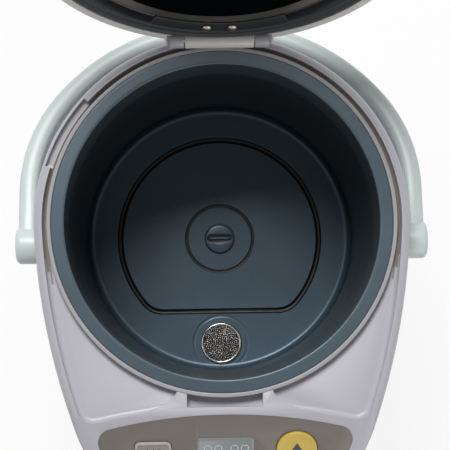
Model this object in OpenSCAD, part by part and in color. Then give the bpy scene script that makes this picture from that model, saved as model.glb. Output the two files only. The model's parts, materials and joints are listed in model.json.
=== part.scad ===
// Electric thermo pot with a hinged lid, a folding carrying handle and a pumped spout.
// Millimetres. +Z is up, -Y is the front, and the origin is on the pot's axis on the table.
// The lid stands open and the handle lies folded to the rear.

/* [Inner pot] */
// Inside radius of the pot
pot_r = 86; // [80:1:88]
// Depth of the pot, rim to floor
pot_depth = 170; // [140:1:175]
// Height of the rim above the table
rim_z = 250; // [246:1:256]
// Radius of the flange round the rim
flange_r = 93.2; // [92.8:0.1:93.3]
// Radius of the small round between wall and floor
pot_fillet = 4; // [3:0.5:4.5]
// Distance of the outlet from the axis
outlet_y = 68.5; // [66:0.5:69]

/* [Housing] */
// Radius of the shoulder at the rear
shoulder_r = 103.5; // [102.5:0.5:105]
// Plan radius of the beak's long sides
side_r = 380; // [340:5:420]
// Reach of the beak in front of the axis
beak_reach = 166; // [160:1:170]
// Plan radius of the beak's front face
front_r = 270; // [240:5:320]
// Plan radius of the beak's front corners
beak_corner = 24; // [18:1:28]
// Height of the shoulder piece's lower edge
frame_bottom = 186; // [180:1:190]
// Thickness of the plastic walls
wall = 2.6; // [2:0.1:2.8]
// Width of the rim outside the lid's seat
rim_width = 5.4; // [5:0.1:6]
// Depth of the lid's seat below the rim
seat_depth = 5; // [4:0.5:5.5]

/* [Control panel] */
// Slope of the panel
panel_tilt = 30; // [25:1:33]
// Distance of the slope's upper edge from the axis
panel_y = 104; // [103:0.5:106]
// Inset of the faceplate's sides from the housing's side
plate_inset = 8.7; // [8:0.1:10]
// Plan radius of the faceplate's upper edge
plate_r = 275; // [260:5:300]
// Width of the display window
lcd_w = 31; // [26:1:34]
// Radius of the round pour button
pour_r = 11.1; // [9:0.1:12]
// How far a button can be pressed
button_travel = 1.2; // [0.8:0.1:1.2]

/* [Lid] */
// How far the lid stands open
lid_open = 110; // [100:1:112]
// Height of the closed lid above the rim
lid_h = 40; // [36:1:42]
// Distance of the lid's front edge from the axis, on the centre line
lid_front = 101; // [100.5:0.5:101.5]
// Plan radius of the lid's drawn-in front edge
lid_front_r = 320; // [280:5:340]
// Plan radius of the lid's front corners
lid_corner = 8.5; // [6:0.5:9]
// Distance of the hinge from the axis
hinge_y = 99; // [98.5:0.5:99.5]
// Height of the hinge above the rim
hinge_up = 3; // [2.8:0.1:3.4]
// Radius of the hinge pin
pin_r = 1.75; // [1.5:0.05:2]

/* [Handle] */
// How far the folded handle droops to the rear
handle_droop = 11; // [10:1:13]
// Distance of the handle's pivots in front of the axis
pivot_y = 10; // [8:1:12]
// Height of the handle's pivots
pivot_z = 212; // [208:1:214]
// Outside radius of the handle's bow at the rear
bow_r = 121.8; // [118:0.2:123]
// Distance of the arms' outer faces from the middle
arm_x = 115.2; // [115:0.1:116]
// Width of the bow, seen from above
bow_w = 11.2; // [10:0.1:11.2]
// Height of the bow's section
bow_h = 14; // [12:1:15]
// Radius of the pivot pins
pivot_r = 4; // [3:0.5:4.5]

/* [Body] */
// Outside radius of the body shell
shell_r = 100.6; // [100.2:0.1:100.6]
// Height of the body shell's lower edge
shell_bottom = 26; // [24:1:28]
// Outside radius of the swivel base
base_r = 88; // [84:1:92]
// Outside radius of the level gauge's glass tube
tube_r = 4.2; // [4:0.1:4.3]
// Distance of the gauge tube from the axis
tube_y = 93.3; // [93:0.1:93.5]

/* [Hidden] */
$fn = 96;

fit = 0.05;          // radial clearance of a running fit
play = 0.4;          // clearance beside a moving piece
steel = 0.8;         // thickness of the pot's sheet steel
slice = 0.2;         // thickness of the slices that a rounded shell is drawn through
floor_z = rim_z - pot_depth;
roof_z = rim_z - 9;  // underside of the shoulder's flat top
seat_z = rim_z - seat_depth;
hook_z = rim_z - 6.4;  // lowest point of the closed lid's latch hook
slot_z = hook_z - 1.4; // floor of the latch's slot, clear of the hook as it dips
board_top = -9;      // control board's upper face, below the panel's surface
cover_z = 12;        // underside of the housing, above the swivel base
cover_r = 101.5;
shield_z = 50;
pump_z = 33.5;       // underside of the pump, on top of its motor
post_r = 10;         // central post of the swivel base
latch_y = 82;        // latch pivot, in front of the axis on the closed lid
latch_z = rim_z + 31.5;
vent_y = 40;
valve_y = 116;       // chamber of the anti-spill ball
valve_in = -106.5;   // faces where the pipes meet the chamber
valve_out = -125.3;
inlet_z = 212;       // levels of the pipes into and out of the chamber
spout_z = 207;
spout_y = 138;       // distance of the spout from the axis

white = "gainsboro";
grey = "silver";
dark = "dimgray";
black = "#202022";

// ---- plan outlines, from arcs that meet at a tangent, right half mirrored to the left ----

function arc(c, r, a0, a1, n) =
    [for (k = [0:n]) c + r * [cos(a0 + (a1 - a0) * k / n), sin(a0 + (a1 - a0) * k / n)]];
function heading(v) = atan2(v[1], v[0]);
// drops the point that two arcs share where they join
function joined(pts) = [for (k = [0:len(pts) - 1]) if (k == 0 || norm(pts[k] - pts[max(k - 1, 0)]) > 0.01) pts[k]];
function mirrored(pts) =
    concat(pts, [for (k = [len(pts) - 1:-1:0]) if (pts[k][0] > 0.01) [-pts[k][0], pts[k][1]]]);
function both_sides(pts) = mirrored(joined(pts));
// centre of a circle that touches two others, given the distances of its centre from theirs
function meet(a, ra, b, rb, side) =
    let (d = norm(b - a), m = (d * d + ra * ra - rb * rb) / (2 * d),
         h = sqrt(ra * ra - m * m), u = (b - a) / d)
    a + m * u + side * h * [-u[1], u[0]];

side_turn = -3.1;    // heading at which the long side leaves the round rear
side_c = -(side_r - shoulder_r) * [cos(side_turn), sin(side_turn)];
front_c = [0, front_r - beak_reach];
lid_c = [0, -lid_front - lid_front_r];
plate_c = [0, -lid_front - 4 - plate_r];

function housing_outline(i = 0) =
    let (c = meet(side_c, side_r - beak_corner, front_c, front_r - beak_corner, -1))
    both_sides(concat(
        arc([0, 0], shoulder_r - i, 90, side_turn, 18),
        arc(side_c, side_r - i, side_turn, heading(c - side_c), 8),
        arc(c, beak_corner - i, heading(c - side_c), heading(c - front_c), 7),
        arc(front_c, front_r - i, heading(c - front_c), -90, 5)));

function lid_outline(i = 0, corner = lid_corner) =
    let (rs = side_r - rim_width - i, rf = lid_front_r + i,
         c = meet(side_c, rs - corner, lid_c, rf + corner, 1))
    both_sides(concat(
        arc([0, 0], shoulder_r - rim_width - i, 90, side_turn, 18),
        arc(side_c, rs, side_turn, heading(c - side_c), 6),
        arc(c, corner, heading(c - side_c), heading(lid_c - c), 6),
        arc(lid_c, rf, heading(c - lid_c), 90, 6)));

function plate_outline(i = 0) =
    let (rs = side_r - plate_inset, rf = front_r - 6, near = 8, far = 16,
         a = meet(side_c, rs - near, plate_c, plate_r - near, 1),
         b = meet(side_c, rs - far, front_c, rf - far, -1))
    both_sides(concat(
        arc(plate_c, plate_r - i, 90, heading(a - plate_c), 6),
        arc(a, near - i, heading(a - plate_c), heading(a - side_c), 6),
        arc(side_c, rs - i, heading(a - side_c), heading(b - side_c), 4),
        arc(b, far - i, heading(b - side_c), heading(b - front_c), 6),
        arc(front_c, rf - i, heading(b - front_c), -90, 5)));

// ---- shared shapes ----

module prism(pts, z0, z1) translate([0, 0, z0]) linear_extrude(z1 - z0) polygon(pts);
module box(x0, x1, y0, y1, z0, z1) translate([x0, y0, z0]) cube([x1 - x0, y1 - y0, z1 - z0]);
module rod(r, z0, z1) translate([0, 0, z0]) cylinder(r = r, h = z1 - z0);
module ring(r0, r1, z0, z1) difference() {
    rod(r1, z0, z1);
    rod(r0, z0 - 1, z1 + 1);
}
// part of a ring between two headings
module sector(r0, r1, a0, a1, z0, z1)
    rotate([0, 0, a0]) rotate_extrude(angle = a1 - a0) translate([r0, z0]) square([r1 - r0, z1 - z0]);
// a rod along X, centred on x, at a given y and z
module cross_rod(r, length, x, y, z)
    translate([x - length / 2, y, z]) rotate([0, 90, 0]) cylinder(r = r, h = length);
module both() {
    children();
    mirror([1, 0, 0]) children();
}
// a pipe from one point to another, solid
module pipe(a, b, r) {
    v = b - a;
    translate(a) rotate([0, acos(v[2] / norm(v)), atan2(v[1], v[0])]) cylinder(r = r, h = norm(v));
}
module bent(points, r) {
    for (k = [1:len(points) - 1]) pipe(points[k - 1], points[k], r);
    if (len(points) > 2) for (k = [1:len(points) - 2]) translate(points[k]) sphere(r);
}
// a pipe with a bore along a bent route; the bore runs 1 mm past both ends
module hollow_pipe(points, r_out, r_in) {
    last = len(points) - 1;
    lead = points[0] - (points[1] - points[0]) / norm(points[1] - points[0]);
    tail = points[last] + (points[last] - points[last - 1]) / norm(points[last] - points[last - 1]);
    difference() {
        bent(points, r_out);
        bent(concat([lead], [for (k = [1:1:last - 1]) points[k]], [tail]), r_in);
    }
}
// places something in the panel's own plane: x across, s down the slope, z out of the surface
module on_panel(x = 0, s = 0)
    translate([0, -panel_y, rim_z]) rotate([panel_tilt, 0, 0]) translate([x, -s, 0]) children();
module panel_slab(z0, z1) on_panel() box(-150, 150, -120, 25, z0, z1);
module round_rect_2d(w, h, r) {
    square([w - 2 * r, h], center = true);
    square([w, h - 2 * r], center = true);
    for (i = [-1, 1], j = [-1, 1]) translate([i * (w / 2 - r), j * (h / 2 - r)]) circle(r);
}
module round_rect(w, h, r, z0, z1) translate([0, 0, z0]) linear_extrude(z1 - z0) round_rect_2d(w, h, r);
// turns the closed lid's pieces about the hinge to where it stands open
module opened() translate([0, hinge_y, rim_z + hinge_up]) rotate([-lid_open, 0, 0])
    translate([0, -hinge_y, -rim_z - hinge_up]) children();
// turns the upright-built handle's plane down to the rear
module folded() translate([0, -pivot_y, pivot_z]) rotate([-handle_droop, 0, 0]) children();

// ---- swivel base ----

module swivel_base() color(dark) difference() {
    union() {
        rod(base_r, 3, 5.5);
        ring(base_r - 2.5, base_r, 3, cover_z - 1);
        rod(post_r, 3, 20);
    }
    rod(2, 8, 21);
}
module rubber_feet() color(black) {
    rod(10, 0, 3);
    for (a = [45:90:315]) rotate([0, 0, a]) translate([base_r - 14, 0, 0]) rod(8, 0, 3);
}
module swivel_screw() color(grey) difference() {
    union() {
        rod(14, 20, 21.5);
        rod(5, 21.5, 24);
        rod(1.95, 9, 20);
    }
    box(-4, 4, -0.6, 0.6, 23, 25);
}

// ---- bottom and body ----

module bottom_cover() color(dark) {
    difference() {
        union() {
            rotate_extrude() difference() {
                translate([0, cover_z]) square([cover_r, shell_bottom - cover_z]);
                translate([0, cover_z + 2.5]) square([cover_r - wall, 40]);
                polygon([[cover_r - 4, cover_z - 1], [cover_r + 1, cover_z - 1], [cover_r + 1, cover_z + 4]]);
            }
            ring(97.2, 99.2, shell_bottom - 4, shell_bottom + 6);
            rod(post_r + 4, cover_z, 19.7);
            for (x = [-40, 40], y = [26, 70]) translate([x, y, 0]) rod(3, cover_z + 1, 20);
        }
        rod(post_r + fit, cover_z - 1, 21);
        for (a = [45:90:315]) rotate([0, 0, a]) translate([76, 0, 0]) {
            rod(1.6, cover_z - 1, 16);
            rod(3.4, cover_z - 1, 13.5);
        }
    }
}
module bottom_screws() color(grey)
    for (a = [45:90:315]) rotate([0, 0, a]) translate([76, 0, 0]) {
        rod(3.2, cover_z + 0.2, 13.5);
        rod(1.5, 13.5, 24);
    }
module body_shell() color(white) difference() {
    ring(shell_r - 1.3, shell_r, shell_bottom, frame_bottom + 6);
    box(-8, 8, -110, -80, 62, 172);
    box(-17, 17, 80, 110, 34, 62);
}
module gauge_window() color("lightcyan", 0.5) sector(shell_r + 0.1, shell_r + 2, -97.5, -82.5, 56, 178);
module gauge_scale() color("white") difference() {
    sector(97.9, 98.9, -95.5, -84.5, 62, 172);
    box(-3.5, 3.5, -110, -80, 66, 168);
    for (k = [0:5]) box(4.2, 8, -100, -98.5, 70 + 19 * k, 70.8 + 19 * k);
}
module inlet_socket() color(black) difference() {
    box(-16.5, 16.5, 86, 102, 34.5, 61.5);
    box(-13, 13, 90, 103, 39, 57);
}
module inlet_pins() color("goldenrod")
    for (x = [-6, 6]) translate([x, 90, 48]) rotate([-90, 0, 0]) cylinder(r = 1.5, h = 6);

// ---- electrics under the pot ----

module power_board() {
    color("darkgreen") box(-44, 44, 22, 74, 20, 21.6);
    color("royalblue") box(6, 24, 48, 64, 21.6, 36);
    color("ivory") box(26, 40, 28, 40, 21.6, 32);
    color(black) for (x = [8, 18]) translate([x, 34, 0]) rod(4, 21.6, 36);
}
module transformer() {
    color("slategray") difference() {
        box(-36, -4, 34, 62, 21.6, 47);
        box(-30, -24, 30, 66, 27, 41);
        box(-16, -10, 30, 66, 27, 41);
    }
    color("darkorange") {
        box(-30, -24, 30.5, 65.5, 27.2, 40.8);
        box(-16, -10, 30.5, 65.5, 27.2, 40.8);
    }
}
module heat_shield() color(grey) difference() {
    union() {
        rod(84, shield_z, shield_z + 1);
        ring(83, 84, shield_z, shield_z + 10);
        for (a = [45:90:315]) rotate([0, 0, a]) translate([76, 0, 0]) rod(4, cover_z + 2.5, shield_z);
    }
    translate([0, -outlet_y, 0]) rod(9, shield_z - 1, shield_z + 12);
    rod(5, shield_z - 1, shield_z + 2);
    for (a = [45:90:315]) rotate([0, 0, a]) translate([76, 0, 0]) rod(1.6, cover_z + 1, 30);
}

// ---- motor and pump, on the outlet's axis ----

module at_outlet() translate([0, -outlet_y, 0]) children();
module motor_case() color(grey) at_outlet() difference() {
    rod(16, cover_z + 3, pump_z);
    rod(14.8, cover_z + 6, pump_z + 1);
    rod(1.5 + fit, cover_z + 2, 22);
}
module motor_rotor() color("brown") at_outlet() {
    rod(1.5, cover_z + 3.5, 28);
    rod(9, 19, 27);
    rod(12, 28, 32);
}
module pump_housing() color("beige") difference() {
    union() {
        at_outlet() rod(17, pump_z, 42);
        pipe([0, -outlet_y - 15, 38.5], [0, -outlet_y - 19.5, 38.5], 3.5);
    }
    at_outlet() difference() {
        rod(15, pump_z + 1.5, 43);
        rod(1.15, pump_z, 41.5);
    }
    pipe([0, -outlet_y - 10, 38.5], [0, -outlet_y - 21, 38.5], 2.8);
}
module pump_cover() color("beige") at_outlet() {
    difference() {
        union() {
            rod(17, 42, 44.5);
            rod(5, 44, 56);
        }
        rod(3.6, 41, 57);
    }
}
module impeller() color("orange") at_outlet() difference() {
    union() {
        rod(12.5, 36, 37.2);
        rod(3.2, 36, 40.6);
        for (a = [0:60:300]) rotate([0, 0, a]) box(2.5, 12, -0.6, 0.6, 37, 40.6);
    }
    rod(1.2, 35, 42);
}
module inlet_hose() color("white", 0.8) at_outlet() rotate_extrude()
    polygon([[5 + fit, 47], [7.2, 47], [7.2, 58], [10, 62], [10, 71], [8 + fit, 71],
             [8 + fit, 62], [5 + fit, 58]]);
module riser_elbow() color("beige") {
    y = -outlet_y - 19.5;
    difference() {
        union() {
            bent([[0, y, 38.5], [0, -tube_y, 38.5], [0, -tube_y, 60]], 4);
            translate([0, -tube_y, 0]) rod(5.5, 54, 61);
        }
        bent([[0, y + 1, 38.5], [0, -tube_y, 38.5], [0, -tube_y, 62]], 2.8);
        translate([0, -tube_y, 0]) rod(tube_r + fit, 56, 62);
    }
}
module gauge_tube() color("lightcyan", 0.5) translate([0, -tube_y, 0]) ring(3.2, tube_r, 56, 182);
module level_float() color("red") translate([0, -tube_y, 0]) union() {
    rod(2.5, 64, 68);
    translate([0, 0, 64]) sphere(2.5);
    translate([0, 0, 68]) sphere(2.5);
}
module upper_elbow() color("beige") {
    difference() {
        union() {
            bent([[0, -tube_y, 180], [0, -tube_y, inlet_z], [0, valve_in, inlet_z]], 4);
            translate([0, -tube_y, 0]) rod(5.5, 176, 184);
        }
        bent([[0, -tube_y, 175], [0, -tube_y, inlet_z], [0, valve_in - 1, inlet_z]], 2.8);
        translate([0, -tube_y, 0]) rod(tube_r + fit, 175, 182);
    }
}
module valve_body() color("beige") difference() {
    union() {
        translate([0, -valve_y, 0]) rod(9.2, 199, 220);
        box(-5.5, 5.5, -112, valve_in, 206.5, 217.5);
        box(-5.5, 5.5, valve_out, -120, 201.5, 212.5);
    }
    translate([0, -valve_y, 0]) rod(7.5, 203, 218);
    translate([0, -valve_y, 0]) rod(3.2, 201, 204);
    pipe([0, valve_in + 1, inlet_z], [0, -112, inlet_z], 2.8);
    pipe([0, -valve_y, spout_z], [0, valve_out - 1, spout_z], 3.4);
}
module valve_ball() color(grey) translate([0, -valve_y, 207.7]) sphere(5.5);
module spout_pipe() color("beige")
    hollow_pipe([[0, valve_out, spout_z], [0, -spout_y, spout_z], [0, -spout_y, 178]], 4.8, 3.4);
module spout_nozzle() color(black) translate([0, -spout_y, 0]) {
    ring(4.85, 7.5, 172, 192);
    ring(4.85, 10, 186.1, 188.5);
}

// ---- inner pot ----

// the heater's place shows in the floor as a circle with its front cut straight
module d_shape(r, flat, corner) {
    c = [sqrt(pow(r - corner, 2) - pow(flat - corner, 2)), corner - flat];
    polygon(both_sides(concat(arc([0, 0], r, 90, heading(c), 24), arc(c, corner, heading(c), -90, 8), [[0, -flat]])));
}
module inner_pot() color("lightslategray") difference() {
    union() {
        rotate_extrude() difference() {
            union() {
                translate([0, floor_z - steel]) square([pot_r + steel - 5, 20]);
                translate([0, floor_z - steel + 5]) square([pot_r + steel, pot_depth + steel - 5]);
                translate([pot_r + steel - 5, floor_z - steel + 5]) circle(5);
                translate([0, rim_z - steel]) square([flange_r, steel]);
            }
            translate([0, floor_z + pot_fillet]) square([pot_r, pot_depth]);
            translate([0, floor_z]) square([pot_r - pot_fillet, 20]);
            translate([pot_r - pot_fillet, floor_z + pot_fillet]) circle(pot_fillet);
        }
        at_outlet() rod(8, floor_z - 13, floor_z - steel / 2);
    }
    at_outlet() rod(7.2, floor_z - 14, floor_z + 1);
    translate([0, 0, floor_z - 0.3]) linear_extrude(1) difference() {
        d_shape(67, 49.6, 18);
        d_shape(63.2, 45.8, 14.2);
    }
    ring(20.4, 23, floor_z - 0.3, floor_z + 1);
    intersection() {
        at_outlet() ring(16.2, 18.8, floor_z - 0.3, floor_z + 1);
        rod(pot_r - pot_fillet, floor_z - 1, floor_z + 2);
    }
}
module center_cap() color(grey) {
    difference() {
        rod(9.8, floor_z, floor_z + 2.6);
        box(-9.4, 9.4, -3.75, 3.75, floor_z + 1, floor_z + 4);
    }
    box(-6.5, 6.5, -0.8, 0.8, floor_z + 1, floor_z + 2.2);
}
module filter_ring() color(grey) at_outlet() difference() {
    rod(13.4, floor_z, floor_z + 2.6);
    rod(12.4, floor_z - 1, floor_z + 4);
}
module filter_mesh() color(grey) at_outlet() translate([0, 0, floor_z + 1.4]) linear_extrude(0.8)
    difference() {
        circle(12.35);
        for (x = [-9:1.5:9], y = [-9:1.5:9])
            if (norm([x, y]) < 10.6) translate([x, y]) square(0.95, center = true);
    }
module heater_plate() color("gray") difference() {
    translate([0, 0, floor_z - steel - 6]) linear_extrude(6) d_shape(62, 46, 13);
    rod(12, 60, floor_z + 1);
}
module heater_clamp() color("lightsteelblue") difference() {
    union() {
        translate([0, 0, floor_z - steel - 7.5]) linear_extrude(1.5) d_shape(54, 40, 10);
        for (a = [90:120:330]) rotate([0, 0, a]) translate([32, 0, 0]) rod(3.5, 68, floor_z - steel - 7);
    }
    rod(12, 60, floor_z + 1);
}
module thermostat() color("tan") {
    rod(10.5, 64, floor_z - steel);
    for (x = [-5, 5]) box(x - 0.4, x + 0.4, -2.5, 2.5, 56, 64);
}
module insulation_jacket() color("wheat") difference() {
    ring(88.3, 93.5, 92, 234);
    box(-8, 8, -110, -80, 90, 240);
}
module pot_seal() color(dark) ring(88.4, flange_r, rim_z - 3.6, rim_z - steel);
module pot_collar() color(grey) difference() {
    rotate_extrude()
        polygon([[88.2, rim_z - 6.6], [88.2, rim_z - 3.6], [93.4, rim_z - 3.6], [93.4, rim_z],
                 [95.6, rim_z], [95.6, roof_z], [99, roof_z], [99, roof_z - 2.5],
                 [92.5, roof_z - 2.5], [92.5, rim_z - 6.6]]);
    box(-22, 22, -110, -95.6, roof_z - 4, roof_z + 1);
}

// ---- shoulder and beak ----

// the shoulder's upper edge is rounded through these slices: [inset, distance below the rim]
frame_edge = [[0, 10], [0.5, 6.4], [1.6, 3.2], [3.2, 1], [5, 0]];
module frame_blank() difference() {
    hull() {
        prism(housing_outline(), frame_bottom, rim_z - frame_edge[0][1]);
        for (k = [1:4]) prism(housing_outline(frame_edge[k][0]),
            rim_z - frame_edge[k][1] - slice, rim_z - frame_edge[k][1]);
    }
    panel_slab(0, 80);
}
module frame_cavity() difference() {
    prism(housing_outline(wall), frame_bottom - 1, roof_z);
    panel_slab(-wall - 1.2, 80);
}
// places where the control board hangs from the frame: [x, distance down the slope]
board_posts = [[63.5, 24], [-63.5, 24], [54, 53.5], [-54, 53.5]];
module hinge_ears() both() {
    cross_rod(4.6, 7.6, 23.2, hinge_y, rim_z + hinge_up);
    box(19.4, 27, 96.5, 103, seat_z - 1, rim_z + hinge_up);
}
module top_frame() color(white) difference() {
    union() {
        difference() {
            union() {
                difference() {
                    frame_blank();
                    frame_cavity();
                }
                sector(100, 107, 75.5, 104.5, rim_z - 10, rim_z);
            }
            // seat of the lid: wide at the front corners, a groove round the rear
            difference() {
                prism(lid_outline(), seat_z, rim_z + 5);
                prism(both_sides([[0, -88], [26, -90], [27.3, -95.6], [33, -99.4], [48, -106], [0, -106]]),
                      seat_z - 1, rim_z);
            }
            sector(97, 101, 137.5, 161.8, seat_z, rim_z + 5);
        }
        hinge_ears();
        both() cross_rod(7, 8, 98, -pivot_y, pivot_z);
        for (p = board_posts) on_panel(p[0], p[1]) rod(2.6, board_top, -2.5);
    }
    rod(95.7, roof_z - 2, rim_z + 0.5);
    cross_rod(4.9, 38.8, 0, hinge_y, rim_z + hinge_up);
    cross_rod(pin_r, 53, 0, hinge_y, rim_z + hinge_up);
    both() cross_rod(pivot_r, 14, 100, -pivot_y, pivot_z);
    // slot of the lid latch, wider behind its lip
    box(-20.5, 20.5, -100.7, -90, slot_z, rim_z + 1);
    box(-14, 14, -103, -100, slot_z, rim_z - 3.5);
    // room for the keys' flanges under the faceplate
    for (k = [boil_key, unlock_key, select_key]) on_panel(k[0], k[1])
        round_rect(k[2] + 2 * key_flange + 0.8, k[3] + 2 * key_flange + 0.8, 4.4, -8, -1);
    on_panel(pour_x, pour_s) rod(pour_r + key_flange + play, -8, -1);
    // seat and opening of the faceplate
    intersection() {
        prism(plate_outline(-0.15), 150, 300);
        panel_slab(-1.8, 30);
    }
    intersection() {
        prism(plate_outline(6.5), 150, 300);
        panel_slab(-8, 30);
    }
}
module beak_cover() color(white) difference() {
    prism(housing_outline(0.6), frame_bottom - 2.5, frame_bottom);
    rod(cover_r - 0.6, frame_bottom - 4, frame_bottom + 1);
    box(-130, 130, -60, 130, frame_bottom - 4, frame_bottom + 1);
    translate([0, -spout_y, 0]) rod(8, frame_bottom - 4, frame_bottom + 1);
}

// ---- control panel: [x, distance down the slope, width, height] of each rectangular key ----

boil_key = [-39.5, 25, 20, 14];
unlock_key = [36, 49, 26, 12];
select_key = [-36, 49, 26, 12];
pour_x = 39;
pour_s = 23.7;
key_flange = 2;     // how far each key's flange reaches past its cap, under the faceplate
lcd_s = 27;
lcd_h = 22;
lamp_x = [-9, 0, 9];
lamp_s = 46;

module key_hole(k) on_panel(k[0], k[1]) round_rect(k[2] + 0.8, k[3] + 0.8, 3.4, -5, 5);
module key_cap(k) on_panel(k[0], k[1]) {
    round_rect(k[2], k[3], 3, -4.2, 1);
    round_rect(k[2] + 2 * key_flange, k[3] + 2 * key_flange, 4, -4.2, -1.8 - button_travel / 4);
}
module control_faceplate() color("#75706b") difference() {
    intersection() {
        prism(plate_outline(), 150, 300);
        panel_slab(-1.8, 0);
    }
    for (k = [boil_key, unlock_key, select_key]) key_hole(k);
    on_panel(pour_x, pour_s) rod(pour_r + play, -5, 5);
    on_panel(0, lcd_s) round_rect(lcd_w + 0.1, lcd_h + 0.1, 2, -5, 5);
    for (x = lamp_x) on_panel(x, lamp_s) rod(1.55, -5, 5);
}
module lcd_window() color("darkgray") on_panel(0, lcd_s) round_rect(lcd_w, lcd_h, 2, -1.8, 0.2);
module lcd_module() color("slategray") on_panel(0, lcd_s) difference() {
    box(-17, 17, -12, 12, board_top, -1.9);
    box(-14, 14, -9, 9, -2.5, -1);
}
module indicator_lenses() color("orange") for (x = lamp_x) on_panel(x, lamp_s) rod(1.5, -4.5, 0.2);
module control_board() color("darkgreen") {
    intersection() {
        prism(plate_outline(3.2), 150, 300);
        panel_slab(board_top - 1.6, board_top);
    }
    for (k = [boil_key, unlock_key, select_key, [pour_x, pour_s]])
        on_panel(k[0], k[1]) box(-3, 3, -3, 3, board_top, -4.2 - button_travel - 0.1);
}
module pour_button() color("gold") on_panel(pour_x, pour_s) {
    rod(pour_r, -4.2, 1.6);
    rod(pour_r + key_flange, -4.2, -1.8 - button_travel / 4);
}
module boil_button() color(grey) key_cap(boil_key);
module unlock_button() color(grey) key_cap(unlock_key);
module select_button() color(grey) key_cap(select_key);

// ---- carrying handle ----

hub_x0 = 103.8;      // inner and outer faces of the hubs
hub_x1 = 116.4;
hub_r = 10.5;
bow_back = pivot_y + 2;    // centre of the bow behind the pivots; its tilt shortens it in plan
bow_turn = 38;             // heading at which the rear arc runs into the corner arcs
bow_lap = 0.3;             // degrees by which it runs into them
bow_ease = 0.1;            // the corner arcs are this much slimmer than the rest
bow_corner = (arm_x - bow_r * cos(bow_turn)) / (1 - cos(bow_turn));
corner_c = [0, bow_back] + (bow_r - bow_corner) * [cos(bow_turn), sin(bow_turn)];
arm_top = corner_c[1] + 0.6; // the straight arms reach a little into the corner arcs
module pivot_pins() color(grey) both() {
    cross_rod(pivot_r, 15.8, 101.9, -pivot_y, pivot_z);
    cross_rod(5.5, 1.6, 110.6, -pivot_y, pivot_z);
}
module bow_section(r, less = 0) translate([r - bow_w / 2, 0])
    round_rect_2d(bow_w - less, bow_h - less, 3.5 - less / 2);
module cross_bore(r, x0, x1) translate([x0, 0, 0]) rotate([0, 90, 0]) cylinder(r = r, h = x1 - x0);
module handle_bail() color("honeydew") folded() difference() {
    union() {
        translate([0, bow_back, 0]) rotate([0, 0, bow_turn - bow_lap])
            rotate_extrude(angle = 180 - 2 * (bow_turn - bow_lap)) bow_section(bow_r);
        both() {
            translate([corner_c[0], corner_c[1], 0]) rotate_extrude(angle = bow_turn) bow_section(bow_corner, bow_ease);
            translate([0, arm_top, 0]) rotate([90, 0, 0]) linear_extrude(arm_top) bow_section(arm_x);
            cross_bore(hub_r, hub_x0, hub_x1);
        }
    }
    both() {
        cross_bore(pivot_r + fit, 100, 120);
        cross_bore(6, 109.7, 120);
    }
}
module handle_caps() color("honeydew") folded() both() cross_bore(5.95, hub_x1 - 1.6, hub_x1 + 0.4);

// ---- lid, drawn closed and then turned open ----

hinge_z = rim_z + hinge_up;
lid_z = rim_z + play;      // lower edge of the lid's rim
tray_z = rim_z + 2;        // underside of the lid's inner frame
deck_z = rim_z + 0.3;      // lower faces of the ring and of the hinge's insert
insert_turn = 26;          // half the spread of the hinge plate's insert
screw_x = 6.8;
screw_y = 82;
// the lid's upper edge is rounded through these slices: [inset, distance below the lid's top]
cover_edge = [[0.3, 20], [1.2, 13.5], [4, 7], [9, 3], [18, 0.8], [30, 0]];
module hinge_pin() color(grey) cross_rod(pin_r, 53, 0, hinge_y, hinge_z);
module hinge_plate() color(black) opened() difference() {
    union() {
        cross_rod(4.2, 37, 0, hinge_y, hinge_z);
        box(-18.5, 18.5, 80, hinge_y, hinge_z + 0.9, hinge_z + 4.1);
        box(-18.5, 18.5, 78.2, 83.2, tray_z - 1, hinge_z + 4.1);
        sector(77.7, 85.3, 90 - insert_turn + 0.3, 90 + insert_turn - 0.3, deck_z - 0.2, tray_z);
    }
    cross_rod(pin_r + fit, 60, 0, hinge_y, hinge_z);
    both() translate([screw_x, screw_y, 0]) rod(1.45, rim_z - 4, rim_z + 5);
}
module lid_screws() color(grey) opened() both() translate([screw_x, screw_y, 0]) {
    rod(1.4, deck_z - 0.2, rim_z + 4.5);
    intersection() {
        rod(2.5, deck_z - 3, deck_z - 0.2);
        translate([0, 0, deck_z + 2.1]) sphere(3.8);
    }
}
module lid_frame() color(black) opened() difference() {
    union() {
        prism(cover_outline(3), tray_z, tray_z + 3);
        difference() {
            ring(77.5, 85.5, deck_z, tray_z);
            sector(70, 90, 90 - insert_turn, 90 + insert_turn, rim_z - 4, tray_z);
        }
        both() {
            box(15.4, 18.4, -latch_y - 3.2, -latch_y + 3.2, tray_z + 2, latch_z);
            cross_rod(2.3, 3, 16.9, -latch_y, latch_z);
        }
    }
    box(-28.5, 28.5, 92.5, 120, rim_z, rim_z + 10);
    box(-18.9, 18.9, 77.5, 100, tray_z - 0.01, rim_z + 10);
    box(-13, 13, -110, -91.5, rim_z, rim_z + 10);
    both() cross_rod(1.5 + fit, 4, 16.9, -latch_y, latch_z);
    translate([0, vent_y, 0]) rod(6.5, rim_z, rim_z + 10);
}
function cover_outline(i) = lid_outline(i, lid_corner + 0.6 * i);
module cover_solid(i) {
    top = rim_z + lid_h - i;
    difference() {
        hull() {
            prism(cover_outline(cover_edge[0][0] + i), lid_z, top - cover_edge[0][1]);
            for (k = [1:5]) prism(cover_outline(cover_edge[k][0] + i),
                top - cover_edge[k][1] - slice, top - cover_edge[k][1]);
        }
        // the drawn-in front, with the same rounded edge
        translate([0, lid_c[1], 0]) rotate_extrude($fn = 240)
            polygon(concat([[0, rim_z - 10], [lid_front_r + cover_edge[0][0] + i, rim_z - 10]],
                [for (e = cover_edge) [lid_front_r + e[0] + i, top - e[1]]],
                [[lid_front_r + cover_edge[5][0] + i, top + 5], [0, top + 5]]));
    }
}
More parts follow.
